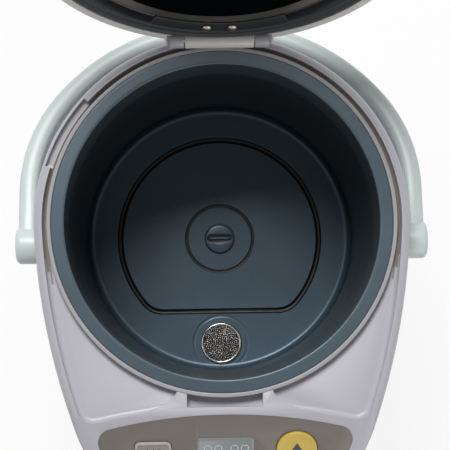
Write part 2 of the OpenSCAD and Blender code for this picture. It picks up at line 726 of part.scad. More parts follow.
module lid_cover() color(white) opened() difference() {
    union() {
        difference() {
            cover_solid(0);
            translate([0, 0, -0.1]) cover_solid(2.4);
        }
        // skirt that drops into the wide corners of the seat
        difference() {
            prism(lid_outline(play), rim_z - 3.5, lid_z + 0.5);
            prism(lid_outline(2.4, 4), rim_z - 5, lid_z + 1);
            box(-120, 120, 10, 120, rim_z - 5, lid_z + 1);
            box(-49, 49, -120, -85, rim_z - 5, lid_z);
        }
    }
    cross_rod(5.4, 57, 0, hinge_y, hinge_z);
    box(-28.5, 28.5, 90, 120, rim_z, hinge_z + 5.4);
    box(-17, 17, -95.2, -63.2, rim_z + 30, rim_z + 60);
    box(-13.5, 13.5, -99.4, -90, rim_z, rim_z + 17);
    translate([0, vent_y, 0]) rod(8.5, rim_z + 20, rim_z + 60);
}
module lid_gasket() color("#303236") opened() rotate_extrude()
    polygon([[86.1, tray_z], [86.1, rim_z + 0.6], [87, rim_z + 0.25], [92.2, rim_z + 0.25],
             [93.2, rim_z + 0.8], [93.2, tray_z]]);
module inner_lid() color(grey) opened() difference() {
    rotate_extrude() difference() {
        polygon([[0, rim_z - 1], [69.5, rim_z - 1], [77.3, rim_z + 0.6], [77.3, tray_z], [0, tray_z]]);
        polygon([[-1, rim_z - 0.2], [69.3, rim_z - 0.2], [76.5, rim_z + 1.3], [76.5, tray_z + 1], [-1, tray_z + 1]]);
    }
    for (a = [0:60:300]) rotate([0, 0, a]) translate([14, 0, 0]) rod(2, rim_z - 2, rim_z);
}
module steam_vent() color(grey) opened() translate([0, vent_y, 0]) difference() {
    union() {
        rod(8.2, tray_z + 3, rim_z + lid_h + 1);
        rod(16, rim_z + lid_h + 0.1, rim_z + lid_h + 2.6);
    }
    rod(6.5, rim_z, rim_z + lid_h + 1);
    for (y = [-4, 0, 4]) box(-6, 6, y - 1, y + 1, rim_z + lid_h, rim_z + lid_h + 4);
}
module latch_lever() color(grey) opened() {
    translate([0, -79, 0]) round_rect(33, 30, 5, rim_z + 34, rim_z + 36.5);
    cross_rod(3.2, 30, 0, -latch_y, latch_z);
    cross_rod(1.5, 36.8, 0, -latch_y, latch_z);
    box(-12, 12, -84, -80, rim_z + 12, latch_z + 3);
    box(-12, 12, -98.4, -80, rim_z + 12, rim_z + 15);
    box(-12, 12, -98.4, -97.2, hook_z + 2, rim_z + 15);
    box(-12, 12, -99.9, -97.6, hook_z, hook_z + 2.5);
}

swivel_base();
rubber_feet();
swivel_screw();
bottom_cover();
bottom_screws();
body_shell();
gauge_window();
gauge_scale();
inlet_socket();
inlet_pins();
power_board();
transformer();
heat_shield();
motor_case();
motor_rotor();
pump_housing();
pump_cover();
impeller();
inlet_hose();
riser_elbow();
gauge_tube();
level_float();
upper_elbow();
valve_body();
valve_ball();
spout_pipe();
spout_nozzle();
inner_pot();
center_cap();
filter_ring();
filter_mesh();
heater_plate();
heater_clamp();
thermostat();
insulation_jacket();
pot_seal();
pot_collar();
top_frame();
beak_cover();
control_faceplate();
lcd_window();
lcd_module();
indicator_lenses();
control_board();
pour_button();
boil_button();
unlock_button();
select_button();
pivot_pins();
handle_bail();
handle_caps();
hinge_pin();
hinge_plate();
lid_frame();
lid_screws();
lid_cover();
lid_gasket();
inner_lid();
steam_vent();
latch_lever();
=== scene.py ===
"""Electric thermo pot with its lid open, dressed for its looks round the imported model.

Everything is in metres in the model's own frame: +Z up, -Y the front, origin on the table
under the pot. Each new piece stands where the solid it replaces stands.
"""

import json
import math

import bmesh
import bpy
from mathutils import Matrix, Vector

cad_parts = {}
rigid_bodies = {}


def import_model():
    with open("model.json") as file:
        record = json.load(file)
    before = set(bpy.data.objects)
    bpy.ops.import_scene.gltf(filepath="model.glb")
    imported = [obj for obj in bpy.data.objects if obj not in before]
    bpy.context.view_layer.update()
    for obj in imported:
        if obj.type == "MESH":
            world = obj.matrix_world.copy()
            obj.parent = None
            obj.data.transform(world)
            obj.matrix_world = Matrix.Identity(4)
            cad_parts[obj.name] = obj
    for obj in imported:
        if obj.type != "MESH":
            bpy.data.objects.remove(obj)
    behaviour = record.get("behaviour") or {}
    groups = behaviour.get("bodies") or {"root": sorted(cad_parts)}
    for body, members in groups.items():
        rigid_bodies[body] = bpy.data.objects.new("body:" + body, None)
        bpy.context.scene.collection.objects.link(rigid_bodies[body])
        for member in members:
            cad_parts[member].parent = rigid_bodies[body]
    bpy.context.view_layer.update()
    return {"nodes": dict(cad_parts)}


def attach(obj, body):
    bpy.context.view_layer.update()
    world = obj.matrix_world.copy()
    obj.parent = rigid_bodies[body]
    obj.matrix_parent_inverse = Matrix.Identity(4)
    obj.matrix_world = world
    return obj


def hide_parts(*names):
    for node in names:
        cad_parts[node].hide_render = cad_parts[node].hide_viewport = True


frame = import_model()
MM = 0.001

# ---------------------------------------------------------------- camera and light

RIM = 0.250  # height of the pot's rim
eye = Vector((-0.0087, -0.0557, RIM + 0.800))
look_at = Vector((0.0015, -0.0024, RIM))
lens = bpy.data.cameras.new("photo_camera")
lens.lens = 118
lens.sensor_width = 36
camera = bpy.data.objects.new("photo_camera", lens)
bpy.context.scene.collection.objects.link(camera)
back = (eye - look_at).normalized()
ROLL = math.radians(0.9)  # the camera's small turn about its own axis
right = Vector((math.sin(ROLL), math.cos(ROLL), 0)).cross(back).normalized()
turn = Matrix((right, back.cross(right), back)).transposed().to_4x4()
camera.matrix_world = Matrix.Translation(eye) @ turn
bpy.context.scene.camera = camera
bpy.context.scene.view_settings.view_transform = "Standard"


def softbox(name, place, target, size, watts):
    """A square studio lamp that faces its target."""
    light = bpy.data.lights.new(name, "AREA")
    light.shape = "SQUARE"
    light.size = size
    light.energy = watts
    lamp = bpy.data.objects.new(name, light)
    bpy.context.scene.collection.objects.link(lamp)
    place = Vector(place)
    facing = (Vector(target) - place).to_track_quat("-Z", "Y").to_matrix().to_4x4()
    lamp.matrix_world = Matrix.Translation(place) @ facing


softbox("window_light", (-0.2, 0.95, 1.8), (0, -0.05, 0.2), 0.7, 32)
softbox("front_fill", (0.7, -1.5, 0.55), (0, 0, 0.15), 1.0, 7)


# ---------------------------------------------------------------- finishes


def paint(code, alpha=1.0):
    """An sRGB hex colour as the linear colour a shader takes."""
    channels = [int(code[i : i + 2], 16) / 255 for i in (1, 3, 5)]
    return [c / 12.92 if c <= 0.04045 else ((c + 0.055) / 1.055) ** 2.4 for c in channels] + [alpha]


def add(tree, kind, inputs=None, **settings):
    """Adds one shader node with its settings, and fills or links its inputs."""
    made = tree.nodes.new("ShaderNode" + kind)
    for name, value in settings.items():
        setattr(made, name, value)
    for name, value in (inputs or {}).items():
        if isinstance(value, bpy.types.NodeSocket):
            tree.links.new(value, made.inputs[name])
        else:
            made.inputs[name].default_value = value
    return made


def finish(name, roughness, metallic=0.0, ior=1.5, coat=0.0, coat_roughness=0.1):
    """A new finish: its node tree, its shader and the place each point has on the object."""
    made = bpy.data.materials.new(name)
    made.use_nodes = True
    tree = made.node_tree
    shader = tree.nodes["Principled BSDF"]
    shader.inputs["Roughness"].default_value = roughness
    shader.inputs["Metallic"].default_value = metallic
    if not metallic:
        shader.inputs["IOR"].default_value = ior
    shader.inputs["Coat Weight"].default_value = coat
    shader.inputs["Coat Roughness"].default_value = coat_roughness
    place = add(tree, "TexCoord").outputs["Object"]
    return made, tree, shader, place


def noise(tree, place, size_mm, detail, roughness=0.5, distortion=0.0):
    """Noise with grains about size_mm across, as a value round 0.5."""
    inputs = {"Vector": place, "Scale": 1000 / size_mm, "Detail": detail}
    inputs.update({"Roughness": roughness, "Distortion": distortion})
    return add(tree, "TexNoise", inputs).outputs["Fac"]


def blend(tree, share, low, high):
    """A colour between two others."""
    return add(tree, "Mix", {0: share, 6: low, 7: high}, data_type="RGBA").outputs[2]


def remap(tree, value, low, high, start=0.0, end=1.0, ease="LINEAR"):
    """A value that goes from low to high while another goes from start to end."""
    inputs = {"Value": value, "From Min": start, "From Max": end, "To Min": low, "To Max": high}
    return add(tree, "MapRange", inputs, interpolation_type=ease).outputs["Result"]


def surface(tree, shader, height, relief_mm, strength=1.0, colour=None, gloss=None):
    """Links a finish's relief, colour and roughness to its shader."""
    bump = add(tree, "Bump", {"Height": height, "Distance": relief_mm * MM, "Strength": strength})
    for source, socket in ((bump.outputs["Normal"], "Normal"), (colour, "Base Color"), (gloss, "Roughness")):
        if source is not None:
            tree.links.new(source, shader.inputs[socket])


def toned(colour, times):
    """An sRGB hex colour made lighter or darker."""
    return [min(1, c * times) for c in paint(colour)[:3]] + [1]


def moulded(name, colour, roughness, grain_mm, relief_mm, drift=0.05, patch_mm=45, **kind):
    """Moulded plastic or rubber: an eroded tool's grain, and wide faint drift of tone and gloss."""
    made, tree, shader, place = finish(name, roughness, **kind)
    patch = noise(tree, place, patch_mm, 4.0, 0.6)
    tone = blend(tree, patch, toned(colour, 1 - drift), toned(colour, 1 + drift))
    gloss = remap(tree, patch, roughness * 0.85, min(1, roughness * 1.18))
    surface(tree, shader, noise(tree, place, grain_mm, 2.0), relief_mm, 0.6, tone, gloss)
    return made


def worked_metal(name, colour, roughness, line_mm, relief_mm, streak=(1, 1, 1)):
    """Metal with the marks of its making: lines across the one direction in streak, or else an even grain."""
    made, tree, shader, place = finish(name, roughness, metallic=1.0)
    along = add(tree, "VectorMath", {0: place, 1: streak}, operation="MULTIPLY").outputs[0]
    lines = noise(tree, along, line_mm, 3.0)
    tone = blend(tree, noise(tree, place, 30, 3.0), toned(colour, 0.93), paint(colour))
    gloss = remap(tree, lines, roughness * 0.75, min(1, roughness * 1.3))
    surface(tree, shader, lines, relief_mm, 0.5, tone, gloss)
    return made


def coated_pot(name, deep, pale, fleck):
    """Stainless steel sprayed with fluoropolymer full of metal flake and baked: slate blue, satin,
    finely speckled, with a faint tide line where water has stood."""
    made, tree, shader, place = finish(name, 0.34, metallic=0.25, coat=0.15, coat_roughness=0.22)
    speck = noise(tree, place, 0.7, 2.0, 0.7)
    cloud = noise(tree, place, 38, 5.0, 0.62)
    tone = blend(tree, cloud, paint(deep), paint(pale))
    tone = blend(tree, remap(tree, speck, 0.0, 0.14, 0.52, 0.7), tone, paint(fleck))
    height = add(tree, "SeparateXYZ", {"Vector": place}).outputs["Z"]
    level = add(tree, "Math", {0: cloud, 1: 0.004, 2: height}, operation="MULTIPLY_ADD").outputs[0]
    tide = remap(tree, level, 0.0, 0.12, 0.2185, 0.2215, "SMOOTHSTEP")
    tone = blend(tree, tide, tone, paint("#8a9aa3"))
    surface(tree, shader, speck, 0.03, 0.5, tone, remap(tree, cloud, 0.3, 0.42))
    return made


def clear_plastic(name, colour, roughness):
    """Clear moulded plastic or glass tube: see-through, with faint waves of the moulding."""
    made, tree, shader, place = finish(name, roughness, ior=1.49)
    shader.inputs["Transmission Weight"].default_value = 1.0
    shader.inputs["Base Color"].default_value = paint(colour)
    surface(tree, shader, noise(tree, place, 9, 2.0), 0.05, 0.3)
    return made


def mineral_wool():
    """Needled glass fibre: pale yellow, matt, with fibres that run every way."""
    made, tree, shader, place = finish("glass_fibre_felt", 0.95)
    fibre = noise(tree, place, 1.5, 6.0, 0.8, 3.0)
    surface(tree, shader, fibre, 0.8, colour=blend(tree, fibre, paint("#a8966a"), paint("#efe4c0")))
    return made


# ABS moulded in a finely eroded tool: satin light grey, faintly lilac, soft wide highlights.
shell_abs = moulded("moulded_abs_light_grey", "#b4b3ba", 0.36, 0.6, 0.02, drift=0.02)
# The same ABS in the rim ring round the pot, a shade deeper: painted shade.
collar_abs_painted_shade = moulded("moulded_abs_rim_grey_painted_shade", "#a3a2a5", 0.32, 0.6, 0.02, drift=0.03)
# The same ABS at the bottom of the lid's groove: matt, and browner and darker as painted shade, matched to the
# photograph.
groove_abs_painted_shade = moulded("moulded_abs_groove_painted_shade", "#877d76", 0.5, 0.9, 0.03, drift=0.08)
# The polished rim of the lid and its hinge: pale, glossy, warm grey.
rim_gloss = moulded("polished_abs_rim", "#dedcd6", 0.26, 0.6, 0.004, drift=0.02)
# Polypropylene from a polished tool: whiter than the shell, faintly green, a soft wide highlight.
handle_pp = moulded("polished_polypropylene_white", "#c9d5d2", 0.36, 0.9, 0.008, drift=0.02)
# Sheet steel with baked polyester paint: even, with the faint ripple of sprayed paint.
painted_steel = moulded("baked_paint_on_steel", "#bdbcc0", 0.3, 1.6, 0.02, drift=0.02, patch_mm=80)
# Glass-filled ABS of the base: dark, matt, coarser grain.
base_abs = moulded("moulded_abs_charcoal", "#45464a", 0.5, 0.8, 0.05, drift=0.08)
# Black ABS of the nozzle, socket and lid frame: deep black with a soft sheen.
black_abs = moulded("moulded_abs_black", "#141517", 0.3, 0.7, 0.02, drift=0.15)
# The same ABS of the hinge's insert, left matt.
matt_black = moulded("moulded_abs_matt_black", "#101113", 0.55, 0.7, 0.03, drift=0.15)
# Silicone rubber: dark, matt, a little dusty.
silicone = moulded("cured_silicone_dark", "#25272a", 0.55, 1.2, 0.03, drift=0.2)
# Nitrile rubber of the feet: dull black with a dry bloom.
foot_rubber = moulded("vulcanised_rubber_black", "#191919", 0.8, 1.0, 0.05, drift=0.25)
# Printed polycarbonate film of the panel: taupe, fine even matt texture.
panel_film = moulded("screen_printed_film_taupe", "#706a65", 0.42, 0.45, 0.012, drift=0.03)
# The faces of the flat keys: ABS a little lighter than the film, satin.
key_abs = moulded("moulded_abs_key_grey", "#8b8884", 0.4, 0.5, 0.015, drift=0.04)
# The rim of each key, worn a little smooth and painted lighter as a highlight.
key_rim_painted_highlight = moulded("moulded_abs_key_rim_painted_highlight", "#a8a5a2", 0.34, 0.5, 0.012, drift=0.03)
# Pale figures of the display.
figure_pale = moulded("display_figures_pale", "#b4babd", 0.3, 0.8, 0.005, drift=0.02)
# The round pour key: yellow ABS, semi-gloss.
key_yellow = moulded("moulded_abs_yellow", "#cdb04b", 0.33, 0.5, 0.015, drift=0.03)
# The display's cell and its bezel: flat grey, smooth.
display_cell = moulded("display_cell_grey", "#86898b", 0.25, 0.8, 0.01, drift=0.03)
# White lacquered card with printed ticks behind the level gauge.
gauge_card = moulded("printed_card_white", "#e6e6e2", 0.5, 0.8, 0.01, drift=0.02)
# Nylon of the water path: ivory, waxy. The impeller is acetal: orange, smooth.
ivory_nylon = moulded("moulded_nylon_ivory", "#d9cfb8", 0.38, 0.8, 0.02, drift=0.05)
orange_acetal = moulded("moulded_acetal_orange", "#d0702a", 0.35, 0.8, 0.02)
# Closed-cell foam of the float: red, dull, with open pores.
red_float = moulded("moulded_foam_red", "#b8302a", 0.5, 0.6, 0.05)
# Clear-tinted lens of the lamps: amber, glossy under a thin clear skin.
amber_lens = moulded("moulded_lens_amber", "#d98a2b", 0.12, 0.6, 0.004, coat=0.5)
# Extruded silicone hose: milky white, satin.
white_hose = moulded("extruded_silicone_white", "#dcdcd6", 0.4, 1.0, 0.02)
# Pressed and fired ceramic of the thermostat: tan, dry, uneven.
tan_ceramic = moulded("pressed_ceramic_tan", "#b79b78", 0.65, 0.9, 0.05, drift=0.12)
# Glass and epoxy board under green solder mask: satin, with the weave faintly raised.
board_green = moulded("glass_epoxy_board_green", "#24513a", 0.35, 1.1, 0.03, drift=0.1)
# Screen-printed ink: of the signs on the keys, and of the marks on the level card.
sign_ink = moulded("screen_printed_ink_dark", "#3a3b3d", 0.5, 0.4, 0.004, drift=0.04)
# Enamelled copper wire, wound in rows half a millimetre apart, drawn at 0.8 mm to show.
wound_copper = worked_metal("wound_enamelled_copper", "#b5652e", 0.35, 0.8, 0.2, streak=(0, 0, 1))
# Stamped laminations of silicon steel: dull grey, with lines about 0.6 mm apart.
laminated_iron = worked_metal("stamped_lamination_steel", "#6d7074", 0.45, 0.6, 0.1, streak=(0, 1, 0))
# Pressed and tumbled stainless steel of the small parts.
pressed_steel = worked_metal("tumbled_stainless_steel", "#c3c1bd", 0.24, 0.8, 0.01)
# Galvanised sheet of the hidden shield and clamps: dull and clouded.
galvanised = worked_metal("galvanised_steel_sheet", "#a5a9ab", 0.42, 4.0, 0.03)
# Cast aluminium of the heater: pale grey, coarse and dull.
cast_aluminium = worked_metal("cast_aluminium_grey", "#9b9c9d", 0.5, 1.2, 0.06)
# Plated brass pins: warm yellow, drawn smooth.
brass = worked_metal("plated_brass_pins", "#c8a860", 0.22, 0.6, 0.01, streak=(1, 0.1, 1))
# The lid's inner cover: stainless steel buffed to a mirror, with a faint haze.
mirror_steel = worked_metal("buffed_stainless_mirror", "#6a6763", 0.07, 0.9, 0.004)
# The drawn bevel round that cover: the same steel left satin, which takes a warm light.
satin_steel = worked_metal("drawn_stainless_satin", "#a39a90", 0.34, 0.9, 0.01)
pot_coat = coated_pot("fluoropolymer_on_steel", "#475b6b", "#566c7b", "#7a8e9a")
# The same coating on the wall and on the flat lip, in darker shades that are painted shade, matched to the
# photograph.
wall_coat_painted_shade = coated_pot("fluoropolymer_on_steel_wall_painted_shade", "#20262b", "#262d33", "#3c454c")
lip_coat_painted_shade = coated_pot("fluoropolymer_on_steel_lip_painted_shade", "#36454f", "#42525e", "#62747f")
# The same coating in the pressed grooves: near black, a painted shade matched to the photograph.
recess_painted_shade = moulded("fluoropolymer_grooves_painted_shade", "#0d1114", 0.4, 0.8, 0.02, drift=0.1)
gauge_clear = clear_plastic("clear_polycarbonate", "#f2f6f6", 0.06)
glass_tube = clear_plastic("drawn_glass_tube", "#f6faf8", 0.02)
wool = mineral_wool()


# ---------------------------------------------------------------- floor and backdrop


def seen_itself(tree):
    """1 where the camera, a reflection or a clear piece shows a point itself, 0 where it only sends light."""
    rays = add(tree, "LightPath").outputs
    seen = rays["Is Camera Ray"]
    for ray in ("Is Glossy Ray", "Is Transmission Ray"):
        seen = add(tree, "Math", {0: seen, 1: rays[ray]}, operation="MAXIMUM").outputs[0]
    return seen


def studio_floor():
    """A wide white sheet under the pot. The camera sees it near white, and it keeps the pot's shadow."""
    bpy.ops.object.select_all(action="DESELECT")
    bpy.ops.mesh.primitive_plane_add(size=6, location=(0, 0, 0))
    sheet = bpy.context.object
    sheet.name = "studio_floor"
    made, tree, shader, place = finish("matt_white_sheet", 0.9)
    tone = blend(tree, noise(tree, place, 3.0, 2.0), paint("#f0f0f0"), paint("#f6f6f6"))
    tree.links.new(tone, shader.inputs["Base Color"])
    share = add(tree, "Math", {0: seen_itself(tree), 1: 0.86}, operation="MULTIPLY")
    glow = add(tree, "Emission", {"Color": (1, 1, 1, 1), "Strength": 1.0})
    both = add(tree, "MixShader", {0: share.outputs[0], 1: shader.outputs[0], 2: glow.outputs[0]})
    tree.links.new(both.outputs[0], tree.nodes["Material Output"].inputs["Surface"])
    sheet.data.materials.append(made)


def studio_world():
    """A pale room with a ceiling that darkens to the rear: white round the pot where the camera, glass or metal
    sees it, lower as a light on the pot."""
    world = bpy.data.worlds.new("studio_room")
    bpy.context.scene.world = world
    world.use_nodes = True
    tree = world.node_tree
    towards = add(tree, "SeparateXYZ", {"Vector": add(tree, "TexCoord").outputs["Generated"]}).outputs
    rear = remap(tree, towards["Y"], 0.35, 0.04, -0.02, 0.14, "SMOOTHSTEP")
    ceiling = remap(tree, towards["Z"], 1.0, rear, 0.45, 0.85, "SMOOTHSTEP")
    level = remap(tree, seen_itself(tree), 0.42, 1.0)
    strength = add(tree, "Math", {0: level, 1: ceiling}, operation="MULTIPLY")
    room = tree.nodes["Background"]
    room.inputs["Color"].default_value = (1, 1, 1, 1)
    tree.links.new(strength.outputs[0], room.inputs["Strength"])


studio_floor()
studio_world()

# ---------------------------------------------------------------- finishes of the solids that stay

FINISH_OF = {
    "swivel_base": base_abs, "rubber_feet": foot_rubber, "swivel_screw": pressed_steel,
    "bottom_cover": base_abs, "bottom_screws": pressed_steel, "body_shell": painted_steel,
    "gauge_window": gauge_clear, "gauge_scale": gauge_card, "inlet_socket": black_abs,
    "inlet_pins": brass, "power_board": board_green, "transformer": laminated_iron,
    "heat_shield": galvanised, "motor_case": galvanised, "motor_rotor": wound_copper,
    "pump_housing": ivory_nylon, "pump_cover": ivory_nylon, "impeller": orange_acetal,
    "inlet_hose": white_hose, "riser_elbow": ivory_nylon, "gauge_tube": glass_tube,
    "level_float": red_float, "upper_elbow": ivory_nylon, "valve_body": ivory_nylon,
    "valve_ball": pressed_steel, "spout_pipe": ivory_nylon, "spout_nozzle": black_abs,
    "inner_pot": pot_coat, "center_cap": pot_coat, "filter_ring": pressed_steel,
    "filter_mesh": pressed_steel, "heater_plate": cast_aluminium, "heater_clamp": galvanised,
    "thermostat": tan_ceramic, "insulation_jacket": wool, "pot_seal": silicone,
    "pot_collar": collar_abs_painted_shade, "top_frame": shell_abs, "beak_cover": shell_abs,
    "control_faceplate": panel_film, "lcd_window": display_cell, "lcd_module": board_green,
    "indicator_lenses": amber_lens, "control_board": board_green, "pour_button": key_yellow,
    "boil_button": key_abs, "unlock_button": key_abs, "select_button": key_abs,
    "pivot_pins": pressed_steel, "handle_bail": handle_pp, "handle_caps": handle_pp,
    "hinge_pin": pressed_steel, "hinge_plate": black_abs, "lid_frame": black_abs,
    "lid_screws": pressed_steel, "lid_cover": shell_abs, "lid_gasket": silicone,
    "inner_lid": mirror_steel, "steam_vent": collar_abs_painted_shade, "latch_lever": collar_abs_painted_shade,
}
for node_name, solid in frame["nodes"].items():
    for k in range(len(solid.material_slots)):
        solid.material_slots[k].material = FINISH_OF[node_name]

# ---------------------------------------------------------------- modelling tools, all in millimetres


def shift(x, y, z):
    """A move."""
    return Matrix.Translation(Vector((x, y, z)) * MM)


def rotate(degrees, axis):
    """A turn about one of the origin's axes."""
    return Matrix.Rotation(math.radians(degrees), 4, axis)


def span(side, a, b):
    """From a to b on one side: -1 for the left, 1 for the right."""
    return sorted((side * a, side * b))


def around(count, radius, first=0):
    """Places evenly round Z, from a first heading."""
    turns = [math.radians(first + 360 / count * k) for k in range(count)]
    return [(radius * math.cos(a), radius * math.sin(a)) for a in turns]


def choose(piece):
    """Makes a piece the only one that is selected, and the active one."""
    bpy.ops.object.select_all(action="DESELECT")
    bpy.context.view_layer.objects.active = piece
    piece.select_set(True)


def new_piece(name):
    """An empty mesh with its object at the origin, open for editing."""
    bpy.ops.object.select_all(action="DESELECT")
    bpy.ops.mesh.primitive_plane_add(size=MM, location=(0, 0, 0))
    piece = bpy.context.object
    piece.name = name
    bpy.ops.object.mode_set(mode="EDIT")
    bpy.ops.mesh.delete(type="VERT")
    return piece


def dot(x, y, z):
    """Starts a line: one selected vertex in the mesh that is open for editing."""
    bpy.ops.mesh.select_mode(type="VERT")
    bpy.ops.mesh.select_all(action="DESELECT")
    bpy.ops.mesh.primitive_plane_add(size=MM, location=(0, 0, 0))
    bpy.ops.mesh.merge(type="CENTER")
    bpy.ops.transform.translate(value=(x * MM, y * MM, z * MM))


def arc_to(centre, degrees, steps, axis=(0, 0, 1)):
    """Goes on from the selected vertex, clockwise round a centre."""
    bpy.ops.mesh.spin(steps=steps, angle=math.radians(degrees), center=Vector(centre) * MM, axis=axis)


def line_by(x, y, z):
    """Goes on from the selected vertex in a straight line."""
    bpy.ops.mesh.extrude_vertices_move(TRANSFORM_OT_translate={"value": (x * MM, y * MM, z * MM)})


def path(points):
    """Draws straight lines from point to point."""
    dot(*points[0])
    for last, point in zip(points, points[1:]):
        line_by(*(b - a for a, b in zip(last, point)))


def stitch(gap=0.004):
    """Selects everything and merges what lies within a gap."""
    bpy.ops.mesh.select_all(action="SELECT")
    bpy.ops.mesh.remove_doubles(threshold=gap * MM)


def mirror_left():
    """Copies the line or bar just drawn to the left side."""
    bpy.ops.mesh.select_linked()
    bpy.ops.mesh.duplicate()
    bpy.ops.transform.resize(value=(-1, 1, 1), center_override=(0, 0, 0))


def pick(piece, kind, test):
    """Selects the faces, edges or corners of the piece whose middle, and normal for a face, pass a test."""
    bpy.ops.mesh.select_mode(type={"faces": "FACE", "edges": "EDGE", "verts": "VERT"}[kind])
    bpy.ops.mesh.select_all(action="DESELECT")
    shape = bmesh.from_edit_mesh(piece.data)
    for item in getattr(shape, kind):
        ends = item.verts if kind != "verts" else [item]
        middle = sum((v.co for v in ends), Vector()) / len(ends) / MM
        if kind == "faces":
            item.select_set(bool(test(middle, item.normal)))
        else:
            item.select_set(bool(test(middle, [v.co / MM for v in ends])))
    bmesh.update_edit_mesh(piece.data)


def upright(length):
    """Tests for edges that rise by more than a length."""
    return lambda middle, ends: abs(ends[0].z - ends[1].z) > length


def skin_over(piece, heights, gap=0.01):
    """Walls between the loops that stand over each other, and a face over each end."""
    stitch(gap)
    bpy.ops.mesh.bridge_edge_loops()
    for z in heights:
        pick(piece, "edges", lambda middle, ends: all(abs(e.z - z) < 0.001 for e in ends))
        bpy.ops.mesh.edge_face_add()


def done(piece):
    """Leaves edit mode with the outside facing out."""
    stitch()
    bpy.ops.mesh.normals_make_consistent(inside=False)
    bpy.ops.object.mode_set(mode="OBJECT")
    return piece


def settle():
    """Puts the place of the object just made into its mesh."""
    bpy.ops.object.transform_apply(location=True, rotation=True, scale=True)
    return bpy.context.object


def block(x0, x1, y0, y1, z0, z1):
    """A square block, for cutting with or as the start of a piece."""
    bpy.ops.object.select_all(action="DESELECT")
    bpy.ops.mesh.primitive_cube_add(size=1, location=(0, 0, 0))
    bpy.ops.transform.resize(value=((x1 - x0) * MM, (y1 - y0) * MM, (z1 - z0) * MM))
    bpy.ops.transform.translate(value=((x0 + x1) / 2 * MM, (y0 + y1) / 2 * MM, (z0 + z1) / 2 * MM))
    return settle()


def rod(radius, z0, z1, x=0, y=0, sides=128):
    """A round block standing on Z."""
    bpy.ops.object.select_all(action="DESELECT")
    sizes = {"vertices": sides, "radius": radius * MM, "depth": (z1 - z0) * MM}
    bpy.ops.mesh.primitive_cylinder_add(location=(x * MM, y * MM, (z0 + z1) / 2 * MM), **sizes)
    return settle()


def cross_rod(radius, x0, x1, y, z, sides=64):
    """A round block lying along X."""
    made = rod(radius, -(x1 - x0) / 2, (x1 - x0) / 2, sides=sides)
    move(made, shift((x0 + x1) / 2, y, z) @ rotate(90, "Y"))
    return made


def turned(name, section, steps=160, centre=(0, 0), width=0.0, segments=2):
    """Turns a closed section, given as (radius, height) points, once round Z, and rounds its edges."""
    piece = new_piece(name)
    path([(r + centre[0], centre[1], z) for r, z in section])
    if section[0][0] or section[-1][0]:
        line_by(section[0][0] - section[-1][0], 0, section[0][1] - section[-1][1])
    stitch()
    arc_to((*centre, 0), 360, steps)
    done(piece)
    if width:
        soften(piece, width, segments)
    return piece


def ring_piece(name, r0, r1, a0, a1, z0, z1, steps=24):
    """Part of a ring, from heading a0 clockwise to a1."""
    piece = new_piece(name)
    out = Vector((math.cos(math.radians(a0)), math.sin(math.radians(a0))))
    dot(out.x * r0, out.y * r0, z0)
    line_by(out.x * (r1 - r0), out.y * (r1 - r0), 0)
    line_by(0, 0, z1 - z0)
    line_by(out.x * (r0 - r1), out.y * (r0 - r1), 0)
    bpy.ops.mesh.select_all(action="SELECT")
    bpy.ops.mesh.edge_face_add()
    arc_to((0, 0, 0), a0 - a1, steps)
    return done(piece)


def apply_modifier(piece, step):
    """Makes what a modifier does part of the mesh."""
    choose(piece)
    bpy.ops.object.modifier_apply(modifier=step.name)


def carve(piece, *tools, operation="DIFFERENCE"):
    """Cuts a piece with each of the tools, and takes them away."""
    for tool in tools:
        step = piece.modifiers.new("carve", "BOOLEAN")
        step.object = tool
        step.operation = operation
        step.solver = "EXACT"
        apply_modifier(piece, step)
        bpy.data.objects.remove(tool)


def fuse(piece, *parts):
    """Makes each of the parts one solid with a piece."""
    carve(piece, *parts, operation="UNION")


def twin(piece):
    """A copy with a mesh of its own."""
    other = piece.copy()
    other.data = piece.data.copy()
    bpy.context.scene.collection.objects.link(other)
    return other


def gather(pieces, name):
    """Makes one mesh of several pieces, which stay loose in it."""
    choose(pieces[0])
    for piece in pieces:
        piece.select_set(True)
    bpy.ops.object.join()
    bpy.context.object.name = name
    return bpy.context.object


def soften(piece, width, segments=2, degrees=30):
    """Rounds every edge sharper than an angle."""
    step = piece.modifiers.new("soften", "BEVEL")
    step.width = width * MM
    step.segments = segments
    step.limit_method = "ANGLE"
    step.angle_limit = math.radians(degrees)
    step.use_clamp_overlap = True
    apply_modifier(piece, step)


def move(piece, matrix):
    """Carries a piece's mesh to its place and keeps its object at the origin."""
    piece.data.transform(matrix)
    piece.data.update()


def dress(piece, body, materials, nodes=(), smooth=35):
    """Gives a finished piece its finish, its body and the solids it stands for."""
    choose(piece)
    bpy.ops.object.shade_smooth_by_angle(angle=math.radians(smooth))
    piece.select_set(False)
    for material in materials if isinstance(materials, list) else [materials]:
        piece.data.materials.append(material)
    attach(piece, body)
    if nodes:
        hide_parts(*nodes)
    return piece


def recoat(piece, test, index=1):
    """Gives the faces whose middle passes a test another of the piece's finishes."""
    for face in piece.data.polygons:
        if test(face.center / MM):
            face.material_index = index


# ---------------------------------------------------------------- plan outlines of the housing, lid and panel

REAR_R = 103.5  # the housing's rear arc, round the pot's axis
SIDE_R, FRONT_R, BEAK_CORNER = 380, 270, 24  # its flanks and front, and the corner between them
LID_REAR_R, LID_SIDE_SET, LID_FRONT_R, LID_CORNER = 98.1, 5.4, 320, 8.5
PANEL_R, PANEL_SIDE_SET, PANEL_FRONT_SET = 275, 8.7, 6
SIDE_TURN = -3.1  # heading at which the rear arc goes over into the flank
SIDE = Vector([-(SIDE_R - REAR_R) * turn(math.radians(SIDE_TURN)) for turn in (math.cos, math.sin)])
FRONT = Vector((0, 104))
LID_FRONT = Vector((0, -421))
PANEL_BACK = Vector((0, -380))
HINGE = (99, 253)  # the lid's axis: back and up
OUTLET = (0, -68.5)  # the outlet's middle in the pot's floor, seen from above
SPOUT = (0, -138)


def heading(v):
    """A direction in degrees, counted from the right."""
    return math.degrees(math.atan2(v.y, v.x))


